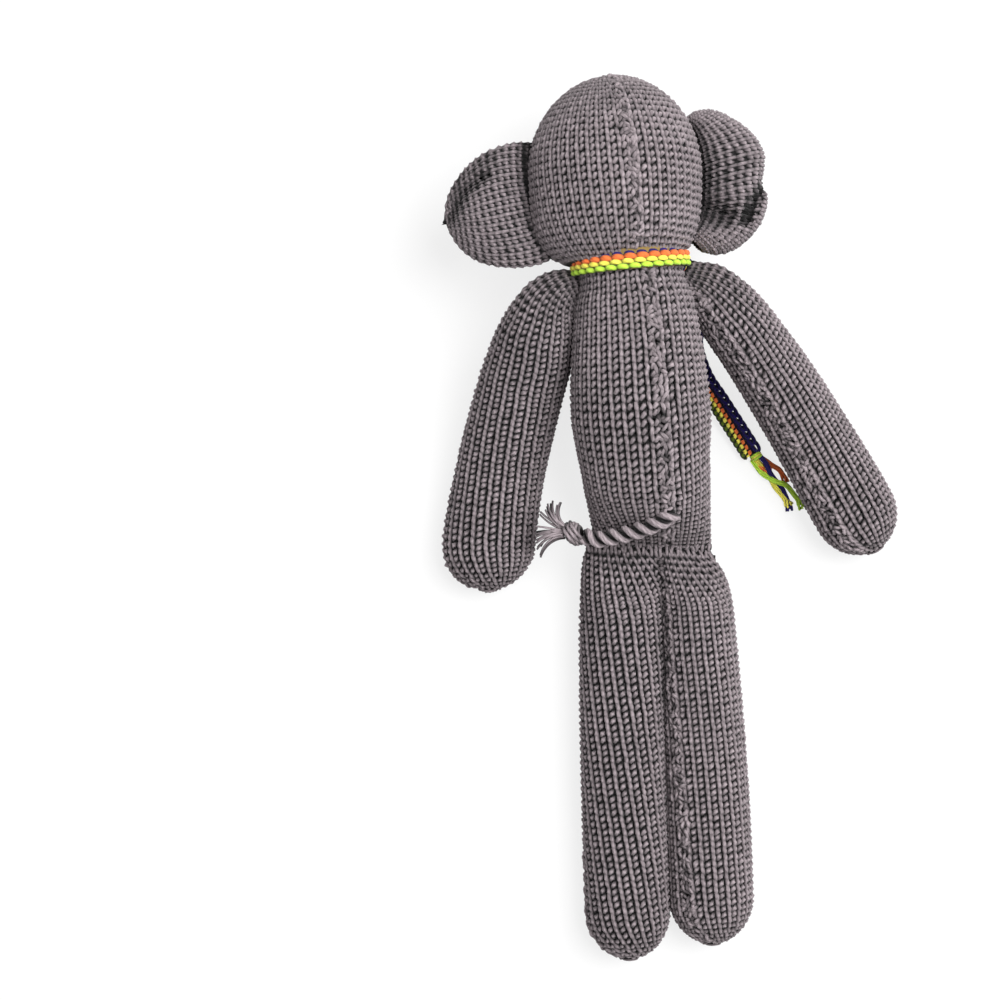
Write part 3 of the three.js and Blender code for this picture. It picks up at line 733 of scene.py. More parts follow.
@dataclass
class Hank:
    """Strands of one yarn that become one mesh."""

    sides: int = 6
    strands: list[Strand] = field(default_factory=list)

    def add(self, places: Array, normals: Array, radius: Any, lift: Any = 0.0) -> None:
        """Add a strand and keep it above the floor.

        Args:
            places: Points along the yarn.
            normals: Outward directions at the points.
            radius: One radius, or one for each point.
            lift: How high the yarn counts as lying above the skin, once or for each point; the material
                paints it darker where this is low, so painted shade is set by lowering it.
        """
        places = np.array(places, float)
        radius, lift = (np.broadcast_to(np.asarray(part, float), len(places)) for part in (radius, lift))
        places[:, 2] = np.maximum(places[:, 2], radius + FLOOR_GAP)
        self.strands.append(Strand(places, np.broadcast_to(normals, places.shape), radius, lift))

    def rings(self, strand: Strand) -> tuple[Array, Array]:
        """The rings of points round a strand, and how high they lie.

        Args:
            strand: The strand.

        Returns:
            The points, ring by ring, and the height of each above the skin, which the material reads for its
            painted shade.
        """
        along = unit(np.gradient(strand.places, axis=0))
        side = unit(np.cross(along, strand.normals))
        out = np.cross(side, along)
        turns = np.arange(self.sides) * (2.0 * math.pi / self.sides)
        spokes = side[:, None] * np.cos(turns)[None, :, None] + out[:, None] * np.sin(turns)[None, :, None]
        # Painted shade: corners under the yarn count lower than those on top, so they are painted darker
        shade_heights = strand.lift[:, None] + strand.radius[:, None] * np.sin(turns)[None, :]
        return strand.places[:, None] + spokes * strand.radius[:, None, None], shade_heights

    def build(self, name: str) -> bpy.types.Object:
        """The mesh of all strands, each a closed tube with its own strip of texture.

        Args:
            name: The object's name.

        Returns:
            The new object.
        """
        sides, corners, shade_heights, loops, counts = self.sides, [], [], [], []
        runs, strips = [], []
        first = 0
        for number, strand in enumerate(self.strands):
            n = len(strand.places)
            rings, high = self.rings(strand)
            corners.append(rings.reshape(-1, 3))
            shade_heights.append(high.ravel())
            i, j, quads = grid_faces(n, sides)
            caps = [np.arange(sides)[::-1], (n - 1) * sides + np.arange(sides)]
            loops.append(first + np.concatenate([quads.ravel(), *caps]))
            counts.append(np.concatenate([np.full(i.size, 4), [sides, sides]]))
            walked = lengths_along(strand.places)
            run = np.stack([walked[i], walked[i], walked[i + 1], walked[i + 1]], -1)
            turn = np.stack([j, j + 1, j + 1, j], -1) / sides
            ends = np.concatenate([np.full(sides, 0.0), np.full(sides, walked[-1])])
            turns = np.tile(np.arange(sides) / sides, 2)
            spots = (np.concatenate([run.ravel(), ends]), np.concatenate([turn.ravel(), turns]))
            runs.append(np.stack(spots, -1))
            strips.append(np.full(quads.size + 2 * sides, number))
            first += n * sides
        yarn, strip = np.concatenate(runs), np.concatenate(strips)
        run_share = BAKE_END + (1.0 - 2.0 * BAKE_END) * yarn[:, 0] / yarn[:, 0].max()
        turn_share = strip + BAKE_SIDE + (1.0 - 2.0 * BAKE_SIDE) * yarn[:, 1]
        bake = np.stack([run_share, turn_share / len(self.strands)], -1)
        maps = {"Yarn": yarn, "OFBake": bake}
        loops, sizes, shade_heights = (np.concatenate(part) for part in (loops, counts, shade_heights))
        return make_mesh(name, np.vstack(corners), loops, sizes, maps, shade_heights)


@dataclass(frozen=True)
class Bend:
    """Two bodies that knitting lies across at a sewn edge, and two points there; the knitting is baked in
    place and follows neither.
    """

    held: str
    moving: str
    start: Point
    end: Point

    def __str__(self) -> str:
        """Name both bodies.

        Returns:
            The names, for the log.
        """
        return f"{self.held} to {self.moving}"


def dress(piece: bpy.types.Object, finish: Any, body: str | Bend, *nodes: str) -> bpy.types.Object:
    """Give a piece its finish, its body and the solids that it stands for.

    Args:
        piece: The new piece.
        finish: A finish with a slot and a material.
        body: The body that carries it, or the bend between two of them, which leaves it baked in place on
            neither.
        nodes: Names of the solids that it replaces.

    Returns:
        The piece.
    """
    piece.data.materials.append(finish.material)
    if isinstance(body, Bend):
        tuple(metres(body.end))
        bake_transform(piece)
    else:
        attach(piece, body)
    if nodes:
        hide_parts(*nodes)
    LOG.info("%s: %d faces on %s", piece.name, len(piece.data.polygons), body)
    return piece


# Seams: the stitches' pitch, the edges' gap, their painted shade and the ranges that the stitches vary in;
# and the painted shade of closing coils
SEAM_STITCH = 2.0
SEAM_GAP = 1.25
SEAM_SHADE = 0.3
SEAM_LEAN = (20.0, 84.0)
SEAM_HALF = (1.3, 2.3)
SEAM_LIFT = (-0.9, 0.3)
SEAM_YARN = (0.72, 0.96)
COIL_SHADE = -0.4


class Lay(Enum):
    """Which way a piece was knitted, as signs of its wales and rows on the grid."""

    TO_CROWN = (-1.0, 1.0)
    TO_TIP = (1.0, -1.0)


# One stitch: shares of a wale and of a row, height over the skin, and share of the yarn's radius
YARN = 1.05
LOOP = np.array(
    (
        (0.00, -0.96, -3.0, 0.80),
        (0.24, -0.74, -2.0, 0.90),
        (0.23, -0.16, -0.50, 1.03),
        (0.18, 0.46, -0.95, 0.97),
        (0.24, 0.95, -2.6, 0.85),
        (0.62, 0.96, -3.2, 0.80),
        (0.87, 0.48, -2.0, 0.92),
        (0.70, 0.00, -0.34, 1.16),
        (0.51, -0.48, -2.0, 0.92),
        (0.74, -0.92, -3.1, 0.80),
    )
)
SAMPLES = 13
LOOP_WANDER = np.array((0.022, 0.04, 0.09, 0.03))
ROW_WANDER = 0.05
EDGE_WANDER = 2.4
ROW_LIMITS = (-0.02, 0.999)

# Stitches are taken off in steps where they would be crowded
DECREASES = (0.75, 0.5, 0.25)
CROWDED = 0.68
FEWEST_WALES = 4


def smooth_path(marks: Array, count: int) -> Array:
    """A smooth line through marks.

    Args:
        marks: Rows of values in order.
        count: How many points the line gets.

    Returns:
        The points, the first and last on the first and last mark.
    """
    padded = np.vstack([2.0 * marks[0] - marks[1], marks, 2.0 * marks[-1] - marks[-2]])
    place = np.linspace(0.0, len(marks) - 1.0, count)
    i = np.minimum(place.astype(int), len(marks) - 2)
    t = (place - i)[:, None]
    a, b, c, d = (padded[i + k] for k in range(4))
    square = 2.0 * a - 5.0 * b + 4.0 * c - d
    cubic = 3.0 * b - a - 3.0 * c + d
    return 0.5 * (2.0 * b + (c - a) * t + square * t**2 + cubic * t**3)


@dataclass
class Knitter:
    """Lays rows of stitches on a skin."""

    seed: int
    yarn: float = YARN

    def __post_init__(self) -> None:
        """Start the piece's own run of unevenness."""
        self.draw = np.random.default_rng(self.seed)

    def row(
        self,
        hank: Hank,
        skin: Skin,
        count: int,
        row: float,
        rows: float,
        lay: Lay,
        yarn: float,
        gap: float = 0.0,
    ) -> None:
        """Lay one row of stitches as one strand.

        Args:
            hank: Where the strand goes.
            skin: The surface.
            count: Stitches across the skin.
            row: The middle of the row, in rows.
            rows: Rows along the whole skin.
            lay: Which way the piece was knitted.
            yarn: The yarn's radius.
            gap: How far the seam keeps each end of the row from the skin's edge.
        """
        marks = np.tile(LOOP, (count, 1, 1))
        marks[:, :, 0] += np.arange(count)[:, None]
        wander = self.draw.normal(0.0, 1.0, (count, len(LOOP), 4))
        if gap > 0.0:
            wander[[0, -1]] *= EDGE_WANDER
        marks += wander * LOOP_WANDER
        marks[:, :, 1] += self.draw.normal(0.0, ROW_WANDER, count)[:, None]
        line = smooth_path(marks.reshape(-1, 4), count * SAMPLES)
        along = np.clip((row + lay.value[1] * line[:, 1]) / rows, *ROW_LIMITS)
        edge = gap / skin.width_at(along)
        across = lay.value[0] * (edge + line[:, 0] / count * (1.0 - 2.0 * edge))
        places, normals = skin.at(across, along, line[:, 2] * (yarn / YARN))
        # Painted shade: the stitch's height, less the skin's painted shade, sets how dark the material paints
        # it
        hank.add(places, normals, yarn * line[:, 3], line[:, 2] - skin.read(skin.sunk_shade, across, along))

    def tube(self, skin: Skin, wales: int, rows: int, lay: Lay, turn_from: float, gap: float = 0.0) -> Hank:
        """Knit all round a tube, with fewer stitches where its end draws in.

        Args:
            skin: The surface.
            wales: Stitches round it.
            rows: Rows along it.
            lay: Which way it was knitted.
            turn_from: The share along it from which stitches are taken off.
            gap: How far the seam keeps each end of a row from the skin's edge.

        Returns:
            The strands, one to a row.
        """
        hank = Hank()
        usual = np.median(skin.around) / wales
        for row in range(rows):
            share = (row + 0.5) / rows
            here = float(skin.width_at(share))
            count = wales
            if share > turn_from:
                for part in DECREASES:
                    if here / count < CROWDED * usual:
                        count = max(int(round(wales * part)), FEWEST_WALES)
            yarn = self.yarn * float(np.clip(here / count / usual, 0.4, 1.0)) ** 0.5
            self.row(hank, skin, count, row + 0.5, rows, lay, yarn, gap)
        return hank

    def seam(self, hank: Hank, skin: Skin, start: float, end: float, width: float) -> None:
        """Sew a seam along the first column: short, tangled stitches over the drawn-in edges.

        Args:
            hank: Where the stitches go.
            skin: The surface.
            start: Share along the skin where it starts.
            end: Share where it ends.
            width: The seam's width in millimetres.
        """
        rows = int(skin.reach * (end - start) / SEAM_STITCH)
        share = np.linspace(-1.0, 1.0, 7)
        for row, side in ((row, side) for row in range(rows) for side in (-1.0, 0.0, 1.0)):
            lean = math.radians(self.draw.uniform(*SEAM_LEAN)) * self.draw.choice((-1.0, 1.0))
            half = self.draw.uniform(*SEAM_HALF)
            middle = start + (end - start) * (row + 0.5 + side * 0.25 + self.draw.normal(0.0, 0.2)) / rows
            along = np.clip(middle + half * share * math.sin(lean) / skin.reach, 0.0, 0.995)
            column = side * width / 3.0 + self.draw.normal(0.0, 0.25) + half * share * math.cos(lean)
            lift = self.draw.uniform(*SEAM_LIFT) - 1.2 * share**2
            across = column / skin.width_at(along)
            places, normals = skin.at(across, along, lift)
            # Painted shade: seam stitches are painted darker than the knitting, and darker still by the
            # skin's painted shade
            shade = lift - SEAM_SHADE - skin.read(skin.sunk_shade, across, along)
            radius = self.yarn * self.draw.uniform(*SEAM_YARN) * (1.0 - 0.22 * share**2)
            hank.add(places, normals, radius, shade)

    def flat(self, skin: Skin, wales: int, rows: int, lay: Lay) -> Hank:
        """Knit a flat piece that is folded over a skin.

        Args:
            skin: The surface.
            wales: Stitches across it.
            rows: Rows along it.
            lay: Which way it was knitted.

        Returns:
            The strands, one to a row.
        """
        hank = Hank()
        for row in range(rows):
            wide = skin.width_at((row + 0.5) / rows) / skin.around.max()
            yarn = self.yarn * float(np.clip(wide, 0.5, 1.0)) ** 0.6
            self.row(hank, skin, wales, row + 0.5, rows, lay, yarn)
        return hank


LINING_STEP = 3
LINING_FLOOR = 0.6
COVER_DEPTH = 2.9
EAR_DEPTH = 3.4
TUSK_DEPTH = 1.6


def lining_piece(name: str, skin: Skin, depth: float, press: Size | None = None) -> bpy.types.Object:
    """The inner side of a cover, as a closed surface a little inside its skin.

    Args:
        name: The piece's name.
        skin: The cover's skin.
        depth: How far inside it lies.
        press: Presses it further in where the cover has dents.

    Returns:
        The new piece.
    """
    places = skin.places - skin.normals * (depth * skin.room)[..., None]
    if press is not None:
        places = press(places)
    places = places[:, ::LINING_STEP] if skin.closed else places.transpose(1, 0, 2)
    places[..., 2] = np.maximum(places[..., 2], LINING_FLOOR)
    rows, columns = places.shape[:2]
    corners = np.vstack([places.reshape(-1, 3), places[0].mean(0), places[-1].mean(0)])
    quads = grid_faces(rows, columns)[2].reshape(-1, 4)
    ring = np.arange(columns)
    after = (ring + 1) % columns
    base = np.stack([after, ring, np.full(columns, rows * columns)], -1)
    last = (rows - 1) * columns
    tip = np.stack([last + ring, last + after, np.full(columns, rows * columns + 1)], -1)
    loops = np.concatenate([quads.ravel(), base.ravel(), tip.ravel()])
    sizes = np.concatenate([np.full(len(quads), 4), np.full(2 * columns, 3)])
    return make_mesh(name, corners, loops, sizes)


def coil(
    hank: Hank, centre: Array, facing: Array, radius: float, turns: float, yarn: float, rise: float
) -> None:
    """A flat spiral of yarn, as a closing thread drawn up or an embroidered spot.

    Args:
        hank: Where the strand goes.
        centre: The middle of the spiral.
        facing: The direction that it faces.
        radius: Its outer radius.
        turns: How many turns it has.
        yarn: The yarn's radius.
        rise: How far the middle stands out.
    """
    facing = unit(facing)
    side = unit(np.cross(facing, (0.31, 0.17, 0.93)))
    other = np.cross(facing, side)
    share = np.linspace(0.0, 1.0, int(14 * turns))
    angle = share * turns * 2.0 * math.pi
    reach = radius * (1.0 - 0.9 * share)
    places = oval(centre, side, other, angle, reach, reach)
    # Painted shade: the coil is painted darker than knitting that lies as high
    hank.add(places + facing * (rise * share)[:, None], facing, yarn, COIL_SHADE)


@dataclass(frozen=True)
class Dent:
    """A hollow along a line: an ear presses it in and paints shade in it, and between the legs it is painted
    shade only.
    """

    line: tuple[tuple[float, float], ...]
    depth: float
    spread: float
    # How much painted shade each millimetre of depth gives
    shade: float = 0.1

    def at(self, places: Array) -> Array:
        """How deep it is at places, by their distance from the line on the floor plan.

        Args:
            places: The places to ask for.

        Returns:
            The depth at each place.
        """
        points = np.array(self.line)
        gaps = []
        for a, b in zip(points[:-1], points[1:]):
            t = np.clip(((places[..., :2] - a) @ (b - a)) / float((b - a) @ (b - a)), 0.0, 1.0)
            gaps.append(np.linalg.norm(places[..., :2] - a - t[..., None] * (b - a), axis=-1))
        return self.depth * np.exp(-((np.min(gaps, axis=0) / self.spread) ** 2))


EDGE_STITCH = 2.3
EDGE_HEIGHT = 1.7
EDGE_YARN = YARN * 0.74
EDGE_SEED = 500


@dataclass
class StuffedPiece:
    """A knitted tube with its lining, its lengthwise seam and the thread that closes its tip."""

    name: str
    body: str | Bend
    tube: Tube
    wales: int
    row: float
    seam_turn: float
    lay: Lay
    seed: int
    start: float = 0.0
    end: float | None = None
    twist: float = 0.0
    seam_width: float = 5.4
    seam_end: float = 0.96
    fill: float = 0.7
    # Painted shade along a line where the piece lies close to another
    painted_crease: Dent | None = None

    @cached_property
    def skin(self) -> Skin:
        """The skin that the rows are laid on.

        Returns:
            The skin.
        """
        end = self.tube.length if self.end is None else self.end
        self.edges = self.tube.rows_between(self.start, end, self.row)
        skin = tube_skin(self.tube, self.edges, self.seam_turn, self.twist)
        # Painted shade along that line, read by the yarn's material
        if self.painted_crease:
            skin.sunk_shade = self.painted_crease.at(skin.places)
        return skin

    def build(self) -> None:
        """Knit, line, sew and close the piece."""
        skin = self.skin
        rows = len(self.edges) - 1
        knitter = Knitter(self.seed)
        turn_from = (self.tube.length - self.tube.end_round - self.start) / (self.edges[-1] - self.start)
        hank = knitter.tube(skin, self.wales, rows, self.lay, turn_from, SEAM_GAP)
        dress(hank.build(f"{self.name}_knitting"), GREY, self.body, f"{self.name}_cover")
        # The lining is painted dark, as shade seen through the stitches
        lining = lining_piece(f"{self.name}_lining", skin, COVER_DEPTH)
        dress(lining, SHADE_LINING, self.body, f"{self.name}_filling")
        sewing = Hank()
        knitter.seam(sewing, skin, 0.01, self.seam_end, self.seam_width)
        self.sew_edges(sewing)
        nodes = [f"{self.name}_seam"] if f"{self.name}_seam" in frame["nodes"] else []
        dress(sewing.build(f"{self.name}_sewing"), GREY, self.body, *nodes)
        self.close_tip()

    def sew_edges(self, sewing: Hank) -> None:
        """Over-and-over stitches round the flat, sewn root, where there is one.

        Args:
            sewing: Where the stitches go.
        """
        if self.tube.root_side is None:
            return
        centre, side, up, width, _ = (part[0] for part in self.tube.section(np.array([0.6])))
        _, along = self.tube.route.at(np.array([0.0]))
        count = int(2.0 * width / EDGE_STITCH)
        draw = np.random.default_rng(self.seed + EDGE_SEED)
        for spot in np.linspace(-0.94, 0.94, count):
            angle = np.linspace(-0.35 * math.pi, 1.35 * math.pi, 9)
            lean = np.linspace(-1.0, 1.0, 9) * draw.uniform(-1.8, 1.8) + draw.normal(0.0, 0.5)
            reach = EDGE_STITCH + draw.normal(0.0, 0.5)
            loop = centre + side * (spot * width + lean)[:, None]
            loop = loop + up * (EDGE_HEIGHT * np.sin(angle))[:, None]
            loop = loop + along[0] * (reach * np.cos(angle))[:, None]
            # Painted shade: the sewing stitches are painted darker
            sewing.add(loop, unit(loop - centre - side * (spot * width)), EDGE_YARN, -0.45)

    def close_tip(self) -> None:
        """The thread that draws the tip together."""
        if f"{self.name}_gather" not in frame["nodes"]:
            return
        hank = Hank()
        tip, along = self.tube.route.at(np.array([self.tube.length - 0.4]))
        tip[0, 2] = max(tip[0, 2], 4.0)
        coil(hank, tip[0], along[0], radius=4.0, turns=2.6, yarn=YARN * 0.9, rise=0.9)
        dress(hank.build(f"{self.name}_closing"), GREY, self.closing_body, f"{self.name}_gather")

    @property
    def closing_body(self) -> str | Bend:
        """The body that carries the closing thread."""
        return "neck" if self.name == "body" else self.body


def body_tube() -> Tube:
    """The tube of the body, from the sewn hips to the top of the neck ball.

    Returns:
        The tube.
    """
    belly = HIP + (NECK - HIP) * 0.45
    belly[:] = belly[0] - 1.3, belly[1], 47.5
    edge = NECK_PLACE - SCARF_WIDTH / 2.0 - 1.0
    taper = SewnTaper(24.6, 36.0)
    chest = Profile(((NECK_PLACE * 0.5, 24.6), (edge, NECK_RADIUS)))
    hip_along = np.array((math.sin(HIP_LEAN), math.cos(HIP_LEAN), 0.0))
    ball = NECK_AXIS * NECK_RADIUS
    return Tube(
        Route(tuple(map(tuple, (HIP, belly, NECK - ball, NECK + ball)))),
        Profile(((0.0, 25.8), (38.0, 27.6), (64.0, 29.6), (NECK_PLACE - 17.0, 25.4), (edge, NECK_RADIUS))),
        lambda d: np.minimum(taper(d), chest(d)),
        NECK_RADIUS,
        np.cross(hip_along, UP),
    )


def head_tube() -> Tube:
    """The tube of the head, from its rim to the crown.

    Returns:
        The tube.
    """
    return Tube(
        Route(((-25.3, 119.7, NECK[2]), (-26.4, 191.4, NECK[2]))),
        Profile(((-8.0, 22.0), (-5.0, 27.4), (-1.0, 31.2), (4.0, 33.8), (12.0, 35.8), (29.0, 37.0))),
        Profile(((-8.0, 20.0), (-5.0, 22.6), (-1.0, 26.8), (4.0, 29.9), (12.0, 32.3), (29.0, 34.0))),
        42.0,
    )


BODY = body_tube()
HEAD = head_tube()


@dataclass(frozen=True)
class Arm:
    """The sizes of one arm."""

    name: str
    route: tuple[Point, ...]
    widths: tuple[tuple[float, float], ...]
    seam_turn: float
    twist: float
    shoulder: Point

    def tube(self) -> Tube:
        """The arm's tube, drawn in at the shoulder and laid against the side of the body."""
        return Tube(Route(self.route), Profile(self.widths), SewnTaper(15.4, 34.0), 20.0)


@dataclass(frozen=True)
class Leg:
    """The sizes of one leg."""

    name: str
    hip: float
    route: tuple[Point, ...]
    widths: tuple[tuple[float, float], ...]
    seam_turn: float
    twist: float
    wales: int

    def tube(self) -> Tube:
        """The leg's tube, sewn flat under the hip seam.

        Returns:
            The tube.
        """
        centre, side, up, *_ = (part[0] for part in BODY.section(np.array([0.0])))
        facing = unit(np.cross(up, side))
        root = centre + side * self.hip - facing * 2.0 * (SEWN_NOSE + CLEARANCE)
        return Tube(
            Route((tuple(root), *self.route)),
            Profile(self.widths),
            SewnTaper(16.4, 22.0),
            21.0,
            -side,
        )


ARMS = (
    Arm(
        "arm_left",
        (
            (-39.0, 104.0, 48.0), (-46.4, 101.4, 48.0), (-52.8, 95.6, 46.0),
            (-58.0, 84.0, 41.0), (-62.0, 71.0, 34.5), (-66.2, 57.0, 27.5),
            (-74.0, 26.0, 17.2), (-79.6, -9.0, 13.8), (-79.6, -28.6, 13.6),
        ),
        (
            (0.0, 5.0), (9.0, 9.8), (18.0, 13.2), (32.0, 16.6),
            (46.0, 18.2), (62.0, 18.8), (100.0, 19.6), (132.0, 20.4),
        ),
        seam_turn=math.radians(-35),
        twist=math.radians(4),
        shoulder=(-53.0, 95.0, 46.5),
    ),
    Arm(
        "arm_right",
        (
            (4.4, 106.6, 48.0), (13.6, 101.8, 48.0), (23.4, 91.4, 45.5),
            (43.2, 66.6, 34.0), (67.0, 32.0, 18.5), (92.0, -10.6, 13.6),
        ),
        ((0.0, 7.4), (10.0, 11.2), (24.0, 14.2), (42.0, 15.2), (60.0, 16.0), (84.0, 16.8), (134.0, 18.2)),
        seam_turn=math.radians(50),
        twist=0.0,
        shoulder=(18.0, 97.0, 47.0),
    ),
)
LEGS = (
    Leg(
        "leg_left",
        -13.2,
        ((-20.6, -30.0, 17.6), (-20.8, -55.0, 16.2), (-20.0, -112.0, 15.0), (-17.2, -191.4, 14.6)),
        ((0.0, 15.6), (8.0, 17.4), (26.0, 18.4), (60.0, 18.6), (150.0, 18.5)),
        seam_turn=math.radians(-35),
        twist=math.radians(8),
        wales=18,
    ),
    Leg(
        "leg_right",
        14.2,
        ((11.2, -30.0, 18.4), (13.2, -55.0, 16.6), (16.8, -112.0, 15.0), (19.4, -184.7, 14.6)),
        ((0.0, 12.0), (9.0, 14.6), (26.0, 16.0), (60.0, 17.2), (150.0, 18.6)),
        seam_turn=math.radians(42),
        twist=math.radians(3),
        wales=20,
    ),
)
# Painted shade along the line between the legs; nothing is pressed in
LEG_CREASE_SHADE = Dent(((-4.6, -8.0), (-3.8, -30.0), (-3.2, -55.0), (-2.4, -76.0)), 0.38, 2.4)


def trunk_tube() -> Tube:
    """The trunk's tube, sewn across the face and laid under the chest.

    Returns:
        The tube.
    """
    centre, *_, depth = (part[0] for part in HEAD.section(np.array([24.0])))
    root = centre - UP * (depth + SEWN_EDGE + CLEARANCE)
    along = [root - HEAD_AXIS * d for d in (34.0, 108.0)]
    for place in along:
        place[2] = 10.2
    taper = SewnTaper(12.4, 34.0)
    narrowing = Profile(((34.0 * 0.8, 12.4 * 0.88), (108.0, 9.6)))
    return Tube(
        Route((tuple(root), *map(tuple, along))),
        Profile(((0.0, 12.6), (34.0, 12.4), (108.0, 9.6))),
        lambda d: np.minimum(taper(d), narrowing(d)),
        10.0,
    )


LEAST_LOFT = 0.25


@dataclass
class Ear(ABC):
    """A stuffed ear that is knitted in one piece and sewn flat to the side of the head."""

    name: str
    seed: int
    dents: tuple[Dent, ...]
    seam: tuple[Point, Point]
    row: float = 3.1
    level: float = 50.0

    @abstractmethod
    def knit(self) -> tuple[Skin, Hank]:
        """Knit the ear.

        Returns:
            The skin and the strands on it.
        """

    def depth(self, places: Array) -> Array:
        """How deep the dents are at places."""
        return np.sum([dent.at(places) for dent in self.dents], axis=0)

    def press(self, places: Array) -> Array:
        """Press the dents into the upper side of a grid of places.

        Args:
            places: The grid, which is changed.

        Returns:
            The same grid.
        """
        height = places[..., 2] - self.level
        pressed = np.maximum(height - self.depth(places), height * LEAST_LOFT)
        places[..., 2] = self.level + np.where(height > 0.0, pressed, height)
        return places

    def fold_shade(self, places: Array) -> Array:
        """The painted shade in the dents on the upper side, as a depth in the knitting."""
        shade = np.sum([dent.shade * dent.at(places) for dent in self.dents], axis=0)
        return np.where(places[..., 2] > self.level, shade, 0.0)

    def press_lining(self, places: Array) -> Array:
        """Press the lining in, and well under the knitting where that is dented.

        Args:
            places: The lining's grid, which is changed.

        Returns:
            The same grid.
        """
        depth = self.depth(places)
        places = self.press(places)
        places[..., 2] -= np.where(places[..., 2] > self.level, 2.6 * ease(depth, 0.2, 2.0), 0.0)
        return places

    def build(self) -> None:
        """Knit the ear and line it."""
        skin, hank = self.knit()
        bend = Bend("head", self.name, *self.seam)
        dress(hank.build(f"{self.name}_knitting"), GREY, bend, f"{self.name}_back", f"{self.name}_front")
        # The lining is painted dark, as shade seen through the stitches
        lining = lining_piece(f"{self.name}_lining", skin, EAR_DEPTH, self.press_lining)
        dress(lining, SHADE_LINING, bend, f"{self.name}_filling")


@dataclass
class GatheredEar(Ear):
    """An ear whose wales run out from the head and are drawn together at its tip."""

    route: Route = Route(
        ((-60.0, 139.2, 50.0), (-73.7, 135.6, 50.0), (-84.0, 132.8, 50.0), (-97.6, 130.6, 50.0))
    )
    half_width: float = 26.4
    half_depth: float = 11.5
    tip_round: float = 33.0
    wales: int = 34

    def knit(self) -> tuple[Skin, Hank]:
        """Knit the ear as a flattened tube that follows the side of the head.

        Returns:
            The skin and the strands on it.
        """
        widths = Profile(((0.0, self.half_width * 0.93), (7.0, self.half_width), (40.0, self.half_width)))
        tube = Tube(self.route, widths, SewnTaper(self.half_depth, 24.0), self.tip_round, HEAD_AXIS)
        edges = tube.rows_between(0.0, tube.length, self.row)
        base = tube_skin(tube, edges, -math.pi / 2.0, 0.0, 120)
        rim, along = HEAD.route.at(np.array([0.0]))
        height = (base.places - rim[0]) @ along[0]
        _, across, _, width, _ = HEAD.section(height.ravel())
        bulge = np.maximum(width - HEAD.section(np.array([24.0]))[3], -6.0).reshape(height.shape)
        reach = np.linspace(0.0, tube.length, len(height))
        near = 1.0 - ease(reach, 0.0, 22.0)
        places = base.places - across[0] * (bulge * near[:, None])[..., None]
        skin = Skin(self.press(places), base.room, base.normals)
        # Painted shade in the dents, and a band of painted shade along the root beside the head
        skin.sunk_shade = self.fold_shade(places) + 0.8 - 0.8 * ease(reach, 0.0, 6.0)[:, None]
        hank = Knitter(self.seed, yarn=0.9).tube(skin, self.wales, len(edges) - 1, Lay.TO_TIP, 0.3)
        tip, along = self.route.at(np.array([tube.length - 0.9]))
        coil(hank, tip[0], along[0], radius=2.2, turns=2.0, yarn=0.8, rise=0.3)
        return skin, hank


@dataclass
class FoldedEar(Ear):
    """An ear that is folded over its rim, so that its wales run out, round the rim and back underneath."""

    lines: tuple[tuple[float, float, float, float], ...] = ()
    half_depth: float = 11.0
    wales: int = 27

    def knit(self) -> tuple[Skin, Hank]:
        """Knit the ear over wales that are drawn from the root to the rim.

        Returns:
            The skin and the strands on it.
        """
        lines = smooth_path(np.array(self.lines), 120)
        walked = lengths_along(lines[:, 2:])
        lines = read_between(np.linspace(0.0, walked[-1], GRID_STEPS * self.wales), walked, lines)
        root, rim = lines[:, :2], lines[:, 2:]
        rows = int(2.0 * (np.median(np.linalg.norm(rim - root, axis=1)) + self.half_depth * 0.7) / self.row)
        turn = np.linspace(-0.97, 0.97, GRID_STEPS * rows + 1)[:, None] * math.pi
        depth = 1.5 + self.half_depth * np.sin(math.pi * np.linspace(0.02, 0.98, len(lines))) ** 0.55
        places = np.empty((len(turn), len(lines), 3))
        places[..., :2] = (root + rim) / 2.0 + (rim - root) / 2.0 * np.cos(turn)[..., None]
        places[..., 2] = self.level + depth * np.sign(np.sin(turn)) * np.abs(np.sin(turn)) ** 0.85
        heart = np.append(((root + rim) / 2.0).mean(0), self.level)
        outward = unit(places - heart)
        thickness = np.minimum(depth, np.linalg.norm(rim - root, axis=1) / 2.0)
        room = np.broadcast_to(np.clip(thickness / 7.0, 0.12, 1.0), places.shape[:2])
        skin = Skin(self.press(places), room, outward, closed=False)
        # Painted shade in the dents, and near the root where the ear lies against the head
        from_root = np.abs(np.abs(turn) - math.pi)
        painted_crease = 1.0 - ease(from_root, 0.1 * math.pi, 0.3 * math.pi)
        skin.sunk_shade = self.fold_shade(places) + 0.35 * painted_crease
        return skin, Knitter(self.seed, yarn=1.0).flat(skin, self.wales, rows, Lay.TO_TIP)


